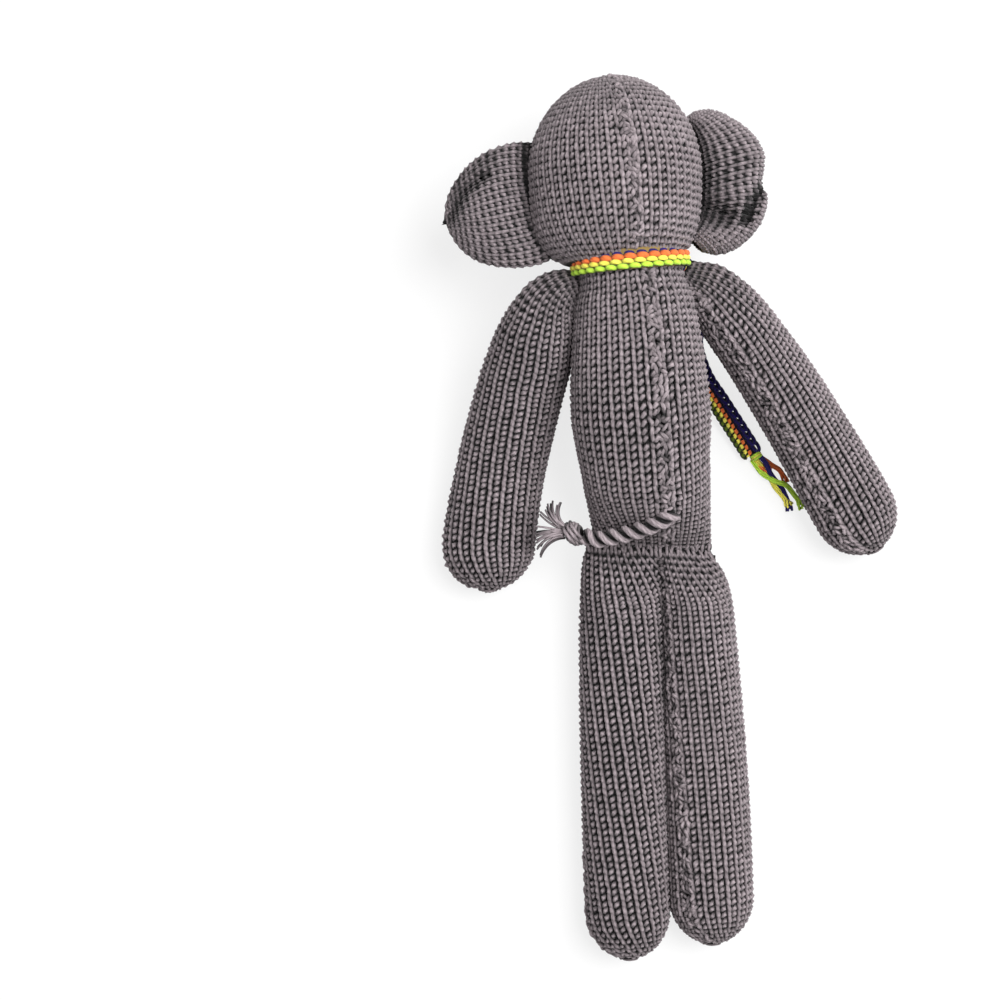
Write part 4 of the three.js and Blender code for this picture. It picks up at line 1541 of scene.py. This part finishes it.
EARS = (
    GatheredEar(
        "ear_left", 61,
        (
            Dent(((-96.7, 129.2), (-91.0, 140.4), (-87.4, 144.1), (-81.8, 148.4)), 4.6, 2.2),
            Dent(((-99.0, 141.0), (-92.0, 149.0), (-82.0, 157.0)), 3.0, 6.0),
        ),
        ((-59.0, 137.0, 50.0), (-74.0, 135.0, 50.0)),
    ),
    FoldedEar(
        "ear_right", 71,
        (
            Dent(((37.6, 145.6), (34.4, 140.4), (32.2, 136.0), (28.6, 129.0)), 7.0, 2.0, 0.15),
            Dent(((11.0, 132.4), (15.0, 131.8), (19.6, 131.0)), 9.0, 4.6, 0.05),
        ),
        ((9.0, 145.0, 50.0), (23.0, 145.0, 50.0)),
        lines=(
            (3.6, 173.0, 8.0, 176.0), (6.6, 169.5, 16.0, 176.8), (8.4, 164.5, 25.0, 172.8),
            (9.8, 158.6, 32.6, 166.8), (10.4, 152.5, 37.2, 159.6), (10.6, 146.5, 37.6, 153.0),
            (10.6, 140.8, 36.8, 147.0), (10.2, 136.6, 39.0, 140.0), (9.6, 133.4, 37.8, 132.6),
            (9.0, 130.8, 33.8, 125.4), (8.4, 128.6, 26.6, 118.8), (7.6, 126.0, 18.6, 116.0),
            (6.0, 122.4, 11.4, 117.4),
        ),
    ),
)


@dataclass
class Face:
    """The eyes and tusks, on the face that lies underneath."""

    eye_place: float = 36.0
    eye_turn: float = math.radians(-42)
    eye_radius: float = 2.6
    tusk_place: float = 21.0
    tusk_turn: float = math.radians(-46)
    tusk_length: float = 22.0
    tusk_radius: float = 4.6

    def spot(self, place: float, turn: float, lean: float, lift: float) -> tuple[Array, Array]:
        """Where a piece is sewn on the face.

        Args:
            place: Distance from the head's rim.
            turn: The angle round the head.
            lean: How far it points back to the neck.
            lift: How far it stands off the surface.

        Returns:
            Its place and the direction that it points in.
        """
        at = np.array([place])
        centre, side, up, *_ = (part[0] for part in HEAD.section(at))
        spot = HEAD.point(at, np.array([turn]))[0]
        out = unit(side * math.cos(turn) + up * math.sin(turn))
        return spot + unit(spot - centre) * lift, unit(out - HEAD_AXIS * lean)

    def build(self) -> None:
        """Embroider the eyes and knit the tusks."""
        for name, mirror in (("right", lambda a: a), ("left", lambda a: math.pi - a)):
            centre, facing = self.spot(self.eye_place, mirror(self.eye_turn), 0.0, CLEARANCE)
            hank = Hank()
            coil(hank, centre + facing * 0.8, facing, self.eye_radius * 0.8, turns=3.0, yarn=0.7, rise=0.9)
            dress(hank.build(f"eye_{name}_stitches"), BLACK, "head", f"eye_{name}")
            self.tusk(name, mirror(self.tusk_turn))

    def tusk(self, name: str, turn: float) -> None:
        """Knit one tusk as a small tube that narrows to its tip.

        Args:
            name: The side that it is on.
            turn: The angle round the head.
        """
        foot, pointing = self.spot(self.tusk_place, turn, 1.0, self.tusk_radius - CLEARANCE)
        start = foot - pointing * self.tusk_radius * 0.6
        tip = foot + pointing * self.tusk_length
        full = self.tusk_radius
        radius = Profile(((0.0, full * 0.8), (5.0, full), (11.0, full), (22.0, 2.9)))
        tube = Tube(Route((tuple(start), tuple(tip))), radius, radius, 5.0)
        edges = tube.rows_between(0.0, tube.length, 2.4)
        skin = tube_skin(tube, edges, math.pi, 0.0, 48)
        hank = Knitter(81).tube(skin, 9, len(edges) - 1, Lay.TO_TIP, 0.8)
        coil(hank, tip - pointing * 0.3, pointing, radius=1.5, turns=1.6, yarn=0.75, rise=0.4)
        dress(hank.build(f"tusk_{name}_knitting"), CREAM, "head", f"tusk_{name}")
        dress(lining_piece(f"tusk_{name}_lining", skin, TUSK_DEPTH), CREAM, "head")


@dataclass
class Tail:
    """A cord of two twisted strands with an overhand knot and a frayed fringe."""

    route: Route = Route(
        (
            (-0.4, 6.2, 54.3), (-6.6, 2.0, 52.6), (-14.6, -1.4, 49.6),
            (-24.8, -4.2, 45.6), (-33.0, -5.6, 42.4), (-38.6, -4.2, 40.2),
        )
    )
    radius: float = 3.6
    twist: float = -12.0
    plies: int = 5
    strand_reach: float = 1.8
    ply_reach: float = 1.2
    seed: int = 91

    def frame_at(self, distance: Array) -> tuple[Array, Array, Array, Array]:
        """Places on the route with their along, side and up directions.

        Args:
            distance: Distances from the root of the tail.

        Returns:
            The places and the three directions.
        """
        place, along = self.route.at(distance)
        side = unit(np.cross(along, UP))
        return place, along, side, np.cross(side, along)

    def build(self) -> None:
        """Twist the cord, tie the knot and fray the end."""
        length = self.route.length
        distance = np.linspace(0.0, length, 90)
        place, _, side, up = self.frame_at(distance)
        cord = Hank()
        for strand in range(2):
            turn = distance / self.twist * 2.0 * math.pi + strand * math.pi
            heart = oval(0.0, side, up, turn)
            across = oval(0.0, up, -side, turn)
            for ply in range(self.plies):
                angle = ply * 2.0 * math.pi / self.plies + turn * 0.25
                offset = oval(0.0, heart, across, angle)
                yarn = place + heart * self.strand_reach + offset * self.ply_reach
                # Painted shade: plies that face into the cord are painted darker than those that face out
                cord.add(yarn, unit(heart * 0.5 + offset), 0.86, self.ply_reach * np.cos(angle) - 0.85)
        rope = dress(cord.build("tail_rope"), GREY, "tail", "tail_cord")
        knot = self.tie(length)
        fringe = self.fray(length)
        2.0 * self.radius / 1000.0

    def tie(self, length: float) -> bpy.types.Object:
        """The knot: slanted wraps of the cord's yarns with a bundle that crosses over them.

        Args:
            length: The length of the cord.

        Returns:
            The knot.
        """
        place, along, side, up = (part[0] for part in self.frame_at(np.array([length + 4.4])))
        hank = Hank()
        turn = np.linspace(0.0, 2.0 * math.pi, 26)
        for offset, reach in ((-2.9, 3.4), (-1.5, 4.1), (0.0, 4.3), (1.5, 4.0), (2.9, 3.3)):
            wrap = place + along * (offset + 1.3 * np.cos(turn))[:, None]
            wrap = oval(wrap, side, up, turn, reach, reach * 0.85)
            # Painted shade: the smaller wraps, at the knot's sides, are painted darker
            hank.add(wrap, unit(wrap - place), 0.82, reach - 4.3)
        for shift in (-1.5, 0.0, 1.5):
            bow = np.linspace(-1.0, 1.0, 14)
            cross = place + along * (bow * 3.8 - shift * 0.8)[:, None] + side * (bow * 3.0 + shift)[:, None]
            cross = cross + up * (4.6 - 3.0 * bow**2)[:, None]
            # Painted shade: the crossing bundle is painted darker towards its ends
            hank.add(cross, up, 0.8, -1.2 * bow**2)
        return dress(hank.build("tail_overhand_knot"), GREY, "tail", "tail_knot")

    def fray(self, length: float) -> bpy.types.Object:
        """The loose ends past the knot, some curled up to the arm and some hanging down.

        Args:
            length: The length of the cord.

        Returns:
            The loose ends.
        """
        draw = np.random.default_rng(self.seed)
        place, along, side, up = (part[0] for part in self.frame_at(np.array([length + 7.4])))
        along = unit(along * (1.0, 1.0, 0.0))
        hank = Hank(sides=5)
        share = np.linspace(0.0, 1.0, 14)
        for bend in (-95.0, -78.0, -60.0, -40.0, 10.0, 30.0, 46.0, 64.0, 82.0):
            size = draw.uniform(12.0, 16.0)
            for ply in range(3):
                degrees = bend * share**0.8 + draw.normal(0.0, 8.0) * share + draw.normal(0.0, 3.0)
                heading = np.radians(degrees)
                step = size / len(share)
                ahead = np.cumsum(np.cos(heading)) * step
                aside = np.cumsum(np.sin(heading)) * step + bend / 90.0 * 1.8 + draw.normal(0.0, 0.45)
                sag = draw.normal(0.0, 0.9) * (1.0 - share) - draw.uniform(0.5, 3.5) * share**1.5
                line = place + along * ahead[:, None] - side * aside[:, None] + up * sag[:, None]
                # Painted shade: ends that sag lower are painted darker
                hank.add(line, up, 0.62 * (1.0 - 0.3 * share), sag * 0.4)
        return dress(hank.build("tail_frayed_end"), GREY, "tail", "tail_fringe")


@dataclass(frozen=True)
class Stripe:
    """One row of bumps in a scarf: its yarn, its place across, where its bumps begin, how it lies and its
    painted shade.
    """

    finish: YarnFinish
    place: float
    shift: float
    yarn: float
    reach: float = 0.0
    # How far the row is moved down in the scarf's ends, and how much painted shade it gets; below nought it
    # is moved up and painted lighter
    sunk_shade: float = 0.0


BAND_STRIPES = (
    Stripe(NAVY, 2.4, 0.2, 1.0, reach=0.9, sunk_shade=-0.5),
    Stripe(ORANGE, 0.8, 0.0, 1.45, reach=2.3, sunk_shade=-0.5),
    Stripe(YELLOW, -1.1, 0.5, 1.2, reach=2.7, sunk_shade=-0.5),
    Stripe(LIME, -3.2, 0.05, 1.25, reach=2.6, sunk_shade=-0.5),
)
END_STRIPES = (
    Stripe(NAVY, -0.3, 0.3, 0.8, sunk_shade=0.5),
    Stripe(ORANGE, 0.9, 0.0, 1.0, sunk_shade=-0.5),
    Stripe(YELLOW, 2.4, 0.5, 1.0, sunk_shade=-0.4),
    Stripe(LIME, 4.0, 0.2, 1.05, sunk_shade=0.7),
)

# Loose yarns of a tassel: places along, across and above the floor, from where the knitting ends
TASSEL = (
    (
        NAVY,
        (
            (0.5, -1.8, 2.6), (7.0, -2.4, 4.2), (12.3, -1.6, 3.2),
            (19.2, -2.4, 1.6), (26.2, -1.4, 1.6), (30.6, 0.6, 1.4),
        ),
    ),
    (ORANGE, ((1.0, 0.6, 2.0), (5.5, 1.6, 1.8), (8.4, -0.4, 2.2), (11.0, -2.6, 2.0))),
    (ORANGE, ((2.0, -1.6, 2.2), (8.6, -4.2, 2.6), (13.0, -6.0, 2.0), (19.4, -5.4, 1.6))),
    (
        LIME,
        (
            (2.0, 1.6, 2.2), (9.2, 1.4, 2.2), (15.0, -0.9, 4.0),
            (19.9, -4.4, 3.4), (27.3, -5.4, 1.9), (33.0, -5.2, 1.7),
        ),
    ),
    (YELLOW, ((2.0, 0.2, 2.4), (11.5, -0.6, 1.8), (18.0, -0.2, 1.8), (24.0, -0.7, 1.8), (29.0, -1.0, 1.7))),
)


@dataclass
class Scarf:
    """A knitted rainbow scarf tied round the neck: a band, a knot and two ends with tassels."""

    end_width: float = 10.2
    knot_radius: float = 5.0
    knot_turn: float = math.radians(45)
    chain_pitch: float = 3.7
    band_pitch: float = 5.1
    end_pitch: float = 2.8
    backing_reach: float = 1.2
    ends: tuple[tuple[str, tuple[Point, ...]], ...] = (
        ("long", ((9.0, 84.0, 18.0), (15.2, 66.6, 11.5), (23.4, 54.6, 8.0), (38.6, 32.0, 3.6))),
        ("short", ((8.5, 112.5, 15.0), (13.0, 100.0, 8.0), (12.0, 86.0, 4.2), (11.0, 73.0, 3.4))),
    )

    def bumps(
        self, hank: Hank, stripe: Stripe, place: Array, normal: Array, across: Array, pitch: float
    ) -> None:
        """A row of knitted bumps along a line.

        Args:
            hank: Where the strand goes.
            stripe: The row's yarn, the start of its bumps and its painted shade.
            place: Points along the line, close together.
            normal: The outward directions there.
            across: The directions across the row.
            pitch: The length of one bump.
        """
        yarn = stripe.yarn
        walked = lengths_along(place)
        count = max(int(walked[-1] / pitch), 2)
        fine = np.linspace(0.0, walked[-1], count * 12)
        phase = fine / walked[-1] * count + stripe.shift
        share = phase - np.floor(phase)
        hump = np.sin(math.pi * share) ** 0.5
        at = [read_between(fine, walked, part) for part in (place, normal, across)]
        slant = (share - 0.5) * yarn * 0.5 + (hump - 0.7) * yarn * 0.45
        lift = (hump - 1.0) * yarn * 1.5
        line = at[0] + at[1] * lift[:, None] + at[2] * slant[:, None]
        # Painted shade: the dips between bumps are painted darker, and each row by its own painted shade
        hank.add(line, unit(at[1]), yarn * (0.68 + 0.32 * hump), lift * 1.2 - yarn * 0.6 - stripe.sunk_shade)

    def band(self) -> None:
        """The band round the neck, drawn a little down the back."""
        axis = NECK_AXIS
        turn = np.linspace(0.0, 2.0 * math.pi, 145)
        out = oval(0.0, NECK_SIDE, UP, turn)
        tilt = -1.4 * np.sin(turn)
        pieces = []
        for stripe in BAND_STRIPES:
            line = NECK + axis * (stripe.place + tilt)[:, None] + out * (NECK_RADIUS + stripe.reach)
            hank = Hank(8)
            self.bumps(hank, stripe, line, out, np.broadcast_to(axis, line.shape), self.band_pitch)
            finish = stripe.finish
            pieces.append(dress(hank.build(f"scarf_band_{finish.name}"), finish, "torso"))
        strip = self.ring_strip(axis, out, tilt)
        dress(strip, BACKING, "torso", "scarf_band")
        below = tuple(metres(NECK - axis * 5.6))
        for piece in (strip, *pieces):
            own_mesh(piece)

    def ring_strip(self, axis: Array, out: Array, tilt: Array) -> bpy.types.Object:
        """The thin backing of the band.

        Args:
            axis: The direction along the neck.
            out: The outward directions round it.
            tilt: How far the band is drawn along the neck, for each direction.

        Returns:
            The backing.
        """
        rows = []
        for offset in np.linspace(-4.4, 4.4, 5):
            ring = NECK + axis * (offset + tilt)[:, None] + out * (NECK_RADIUS + self.backing_reach)
            rows.append(ring[:-1])
        return strip_mesh("scarf_band_backing", np.stack(rows), True)

    def knot(self) -> None:
        """The knot at the front: wraps of the scarf's own yarns."""
        centre = self.knot_place()
        draw = np.random.default_rng(17)
        for number, finish in enumerate(reversed(COLOURS)):
            hank = Hank()
            turn = np.linspace(0.0, 2.0 * math.pi, 30)
            for wrap in range(3):
                tilt = unit(draw.normal(0.0, 0.35, 3) + np.array((0.6, 0.5, 0.2)))
                side = unit(np.cross(tilt, UP))
                other = np.cross(side, tilt)
                offset = (number - 1.5) * 1.7 + (wrap - 1.0) * 0.5
                reach = math.sqrt(max(self.knot_radius**2 - offset**2, 4.0)) - 0.9
                ring = oval(centre + tilt * offset, side, other, turn, reach, reach)
                hank.add(ring, unit(ring - centre), 1.0)
            nodes = ("scarf_knot",) if number == 0 else ()
            dress(hank.build(f"scarf_knot_{finish.name}"), finish, "torso", *nodes)

    def knot_place(self) -> Array:
        """The middle of the knot."""
        reach = NECK_RADIUS + CLEARANCE * 2.0 + SCARF_THICKNESS + CLEARANCE + self.knot_radius
        return NECK + NECK_SIDE * reach * math.sin(self.knot_turn) - UP * reach * math.cos(self.knot_turn)

    def chain(self, hank: Hank, place: Array, along: Array, side: Array, up: Array) -> None:
        """A cast-off edge: loops along a line, each drawn through the one before.

        Args:
            hank: Where the loops go.
            place: Points along the line.
            along: The directions along it.
            side: The directions across it.
            up: The outward directions.
        """
        walked = lengths_along(place)
        turn = np.linspace(0.0, 2.0 * math.pi, 25)
        for stop in np.arange(1.5, walked[-1] - 1.0, self.chain_pitch):
            heart, ahead, aside, out = (read_between(stop, walked, part) for part in (place, along, side, up))
            loop = oval(heart, ahead, aside, turn, 2.7, 1.3)
            rise = 0.5 * np.cos(turn)
            # Painted shade: the loops are painted darker where they dip
            hank.add(loop + out * rise[:, None], out, 0.84, rise - 0.4)

    def end(self, name: str, points: tuple[Point, ...]) -> None:
        """One striped end with its tassel.

        Args:
            name: The end's name.
            points: The route that it lies along, after the knot.
        """
        centre = self.knot_place()
        leaving = centre + unit(np.array(points[0]) - centre) * (self.knot_radius + CLEARANCE)
        route = Route((tuple(leaving), *points))
        distance = np.linspace(0.0, route.length, 60)
        place, along = route.at(distance)
        side = unit(np.cross(along, UP))
        up = np.cross(side, along)
        hanks = {finish.name: Hank() for finish in COLOURS}
        self.chain(hanks[NAVY.name], place - side * 2.6 + up * 0.6, along, side, up)
        for stripe in END_STRIPES:
            for face in (1.0, -1.0):
                line = place + side * stripe.place + up * (face * 0.5 - stripe.sunk_shade * 0.5)
                self.bumps(hanks[stripe.finish.name], stripe, line, up * face, side, self.end_pitch)
        for finish in COLOURS:
            row = hanks[finish.name].build(f"scarf_end_{name}_{finish.name}")
            dress(row, finish, "torso")
        strips = [place + side * offset for offset in np.linspace(-2.7, 4.9, 5)]
        strip = strip_mesh(f"scarf_end_{name}_backing", np.stack(strips), False)
        dress(strip, BACKING, "torso", f"scarf_end_{name}")
        tassel = self.tassel(name, place[-1], along[-1], side[-1])
        route.length / 1000.0

    def tassel(self, name: str, place: Array, along: Array, side: Array) -> list[bpy.types.Object]:
        """The loose yarns at the end of the scarf, tied together where they start.

        Args:
            name: The end's name.
            place: Where the knitting ends.
            along: The direction in which it ends.
            side: The direction across it.

        Returns:
            The pieces, one of each colour.
        """
        draw = np.random.default_rng(23)
        along, side = unit(along * (1.0, 1.0, 0.0)), unit(side * (1.0, 1.0, 0.0))
        foot = place * (1.0, 1.0, 0.0)
        hanks = {finish.name: Hank(5) for finish in COLOURS}
        for finish, points in TASSEL:
            route = Route(tuple(tuple(foot + along * u + side * v + UP * z) for u, v, z in points))
            distance = np.linspace(0.0, route.length, 40)
            heart, ahead = route.at(distance)
            beside = unit(np.cross(ahead, UP))
            above = np.cross(beside, ahead)
            loose = ease(distance, route.length - 5.0, route.length)
            for ply in range(5):
                angle = ply * 2.0 * math.pi / 5.0 + distance / 6.5 * (1.0 - 0.5 * loose)
                spread = 0.72 + loose * draw.uniform(0.3, 1.3)
                out = oval(0.0, beside, above, angle)
                # The loose yarns are marked a little above the skin, so they get little painted shade
                hanks[finish.name].add(heart + out * spread[:, None], unit(out), 0.52, 0.4)
        turn = np.linspace(0.0, 2.0 * math.pi, 20)
        for number, finish in enumerate((LIME, YELLOW, LIME)):
            ring = place + along * (0.9 + number * 0.8) + side * (2.1 * np.cos(turn) - 0.6)[:, None]
            ring = ring + UP * (1.6 * np.sin(turn))[:, None]
            hanks[finish.name].add(ring, unit(ring - place), 0.75)
        made = []
        for finish in COLOURS:
            nodes = (f"scarf_tassel_{name}",) if finish is NAVY else ()
            yarns = hanks[finish.name].build(f"scarf_tassel_{name}_{finish.name}")
            made.append(dress(yarns, finish, "torso", *nodes))
        return made

    def build(self) -> None:
        """Lay the band, tie the knot and lay the ends."""
        self.band()
        self.knot()
        for name, points in self.ends:
            self.end(name, points)


def strip_mesh(name: str, rows: Array, closed: bool) -> bpy.types.Object:
    """A thin strip from rows of points, as one layer of cloth.

    Args:
        name: The piece's name.
        rows: Grid of points, the lines along the strip first.
        closed: Whether the strip runs back into its start.

    Returns:
        The new piece.
    """
    lines, count = rows.shape[:2]
    quads = grid_faces(lines, count, closed)[2].reshape(-1, 4)
    return make_mesh(name, rows.reshape(-1, 3), quads.ravel(), np.full(len(quads), 4))


@dataclass
class Studio:
    """The white surface, the soft light and the camera straight above."""

    view_centre: tuple[float, float] = (-74.6, 11.25)
    view_height: float = 950.0
    view_width: float = 433.0
    level: float = 35.0
    sensor: float = 36.0
    floor_half: float = 3000.0
    room_light: float = 0.2
    target: Point = (-10.0, 0.0, 30.0)

    def camera(self) -> None:
        """Set the camera over the middle of the picture, looking down."""
        data = bpy.data.cameras.new("camera")
        data.sensor_width = self.sensor
        data.lens = self.sensor * (self.view_height - self.level) / self.view_width
        camera = bpy.data.objects.new("camera", data)
        camera.location = metres((*self.view_centre, self.view_height))
        bpy.context.scene.collection.objects.link(camera)
        bpy.context.scene.camera = camera

    def floor(self) -> None:
        """A white surface that shows as white and keeps the soft shadows."""
        square = ((-1.0, -1.0, 0.0), (1.0, -1.0, 0.0), (1.0, 1.0, 0.0), (-1.0, 1.0, 0.0))
        floor = make_mesh("floor", self.floor_half * np.array(square), np.arange(4), np.array([4]))
        paint = Paint(bpy.data.materials.new("white_floor"))
        plain = paint.node("ShaderNodeBsdfDiffuse", {}, {"Color": (0.92, 0.92, 0.92, 1.0)})[0]
        glow = paint.node("ShaderNodeEmission", {}, {"Color": (1.0, 1.0, 1.0, 1.0), "Strength": 1.0})[0]
        place = paint.node("ShaderNodeNewGeometry", {}, {})[0]
        distance = paint.node("ShaderNodeVectorMath", {"operation": "LENGTH"}, {0: place})[1]
        share = paint.node(
            "ShaderNodeMapRange",
            {},
            {"Value": distance, "From Min": 0.3, "From Max": 0.7, "To Min": 0.78, "To Max": 1.0},
        )[0]
        bright = paint.node("ShaderNodeMixShader", {}, {0: share, 1: plain, 2: glow})[0]
        shader = paint.node("ShaderNodeMixShader", {}, {0: paint.seen(), 1: plain, 2: bright})[0]
        floor.data.materials.append(paint.finish(shader))

    def lamp(self, name: str, place: Point, size: float, watts: float) -> None:
        """One soft, square lamp that points at the toy.

        Args:
            name: The lamp's name.
            place: Where it hangs, in millimetres.
            size: Its side, in metres.
            watts: Its power.
        """
        data = bpy.data.lights.new(name, "AREA")
        data.size = size
        data.energy = watts
        lamp = bpy.data.objects.new(name, data)
        lamp.location = metres(place)
        away = np.array(lamp.location) - metres(self.target)
        lamp.rotation_euler = (
            math.atan2(math.hypot(away[0], away[1]), away[2]),
            0.0,
            math.atan2(away[1], away[0]) + math.pi / 2.0,
        )
        bpy.context.scene.collection.objects.link(lamp)

    def build(self) -> None:
        """Set up the view, the floor and the light."""
        self.camera()
        self.floor()
        self.lamp("window_light", (640.0, 380.0, 1450.0), 1.2, 42.0)
        self.lamp("fill_light", (-800.0, -300.0, 1500.0), 1.6, 7.0)
        paint = Paint(bpy.data.worlds.new("soft_room"))
        white = (1.0, 1.0, 1.0, 1.0)
        light, sight = (
            paint.node("ShaderNodeBackground", {}, {"Color": white, "Strength": strength})[0]
            for strength in (self.room_light, 1.0)
        )
        shader = paint.node("ShaderNodeMixShader", {}, {0: paint.seen(), 1: light, 2: sight})[0]
        bpy.context.scene.world = paint.finish(shader, "ShaderNodeOutputWorld")
        bpy.context.scene.view_settings.view_transform = "Standard"


def stuffed_pieces() -> list[StuffedPiece]:
    """The stuffed pieces, with their stitch counts.

    Returns:
        The body, the head, the arms, the legs and the trunk.
    """
    pieces = [
        StuffedPiece(
            "body", "torso", BODY, wales=31, row=2.75, seam_turn=math.radians(75),
            lay=Lay.TO_CROWN, seed=11, end=NECK_PLACE + 12.0,
        ),
        StuffedPiece(
            "head", "head", HEAD, wales=48, row=3.05, seam_turn=math.radians(82),
            lay=Lay.TO_CROWN, seed=21, start=-8.0, twist=math.radians(5), seam_width=3.6,
        ),
    ]
    for number, arm in enumerate(ARMS):
        bend = Bend("torso", arm.name, arm.route[0], arm.shoulder)
        pieces.append(
            StuffedPiece(
                arm.name, bend, arm.tube(), wales=18, row=2.8, seam_turn=arm.seam_turn,
                lay=Lay.TO_TIP, seed=31 + number, twist=arm.twist,
            )
        )
    for number, leg in enumerate(LEGS):
        pieces.append(
            StuffedPiece(
                leg.name, leg.name, leg.tube(), wales=leg.wales, row=2.85, seam_turn=leg.seam_turn,
                lay=Lay.TO_TIP, seed=41 + number, twist=leg.twist, painted_crease=LEG_CREASE_SHADE,
            )
        )
    pieces.append(
        StuffedPiece(
            "trunk", "trunk", trunk_tube(), wales=14, row=2.8, seam_turn=math.radians(-90),
            lay=Lay.TO_TIP, seed=51,
        )
    )
    return pieces


def main() -> None:
    """Build the view, the tail, the stuffed pieces, the ears, the face and the scarf."""
    logging.basicConfig(level=logging.INFO, format="%(name)s: %(message)s")
    Studio().build()
    Tail().build()
    for piece in stuffed_pieces():
        piece.build()
    for ear in EARS:
        ear.build()
    Face().build()
    Scarf().build()


if __name__ == "__main__":
    main()
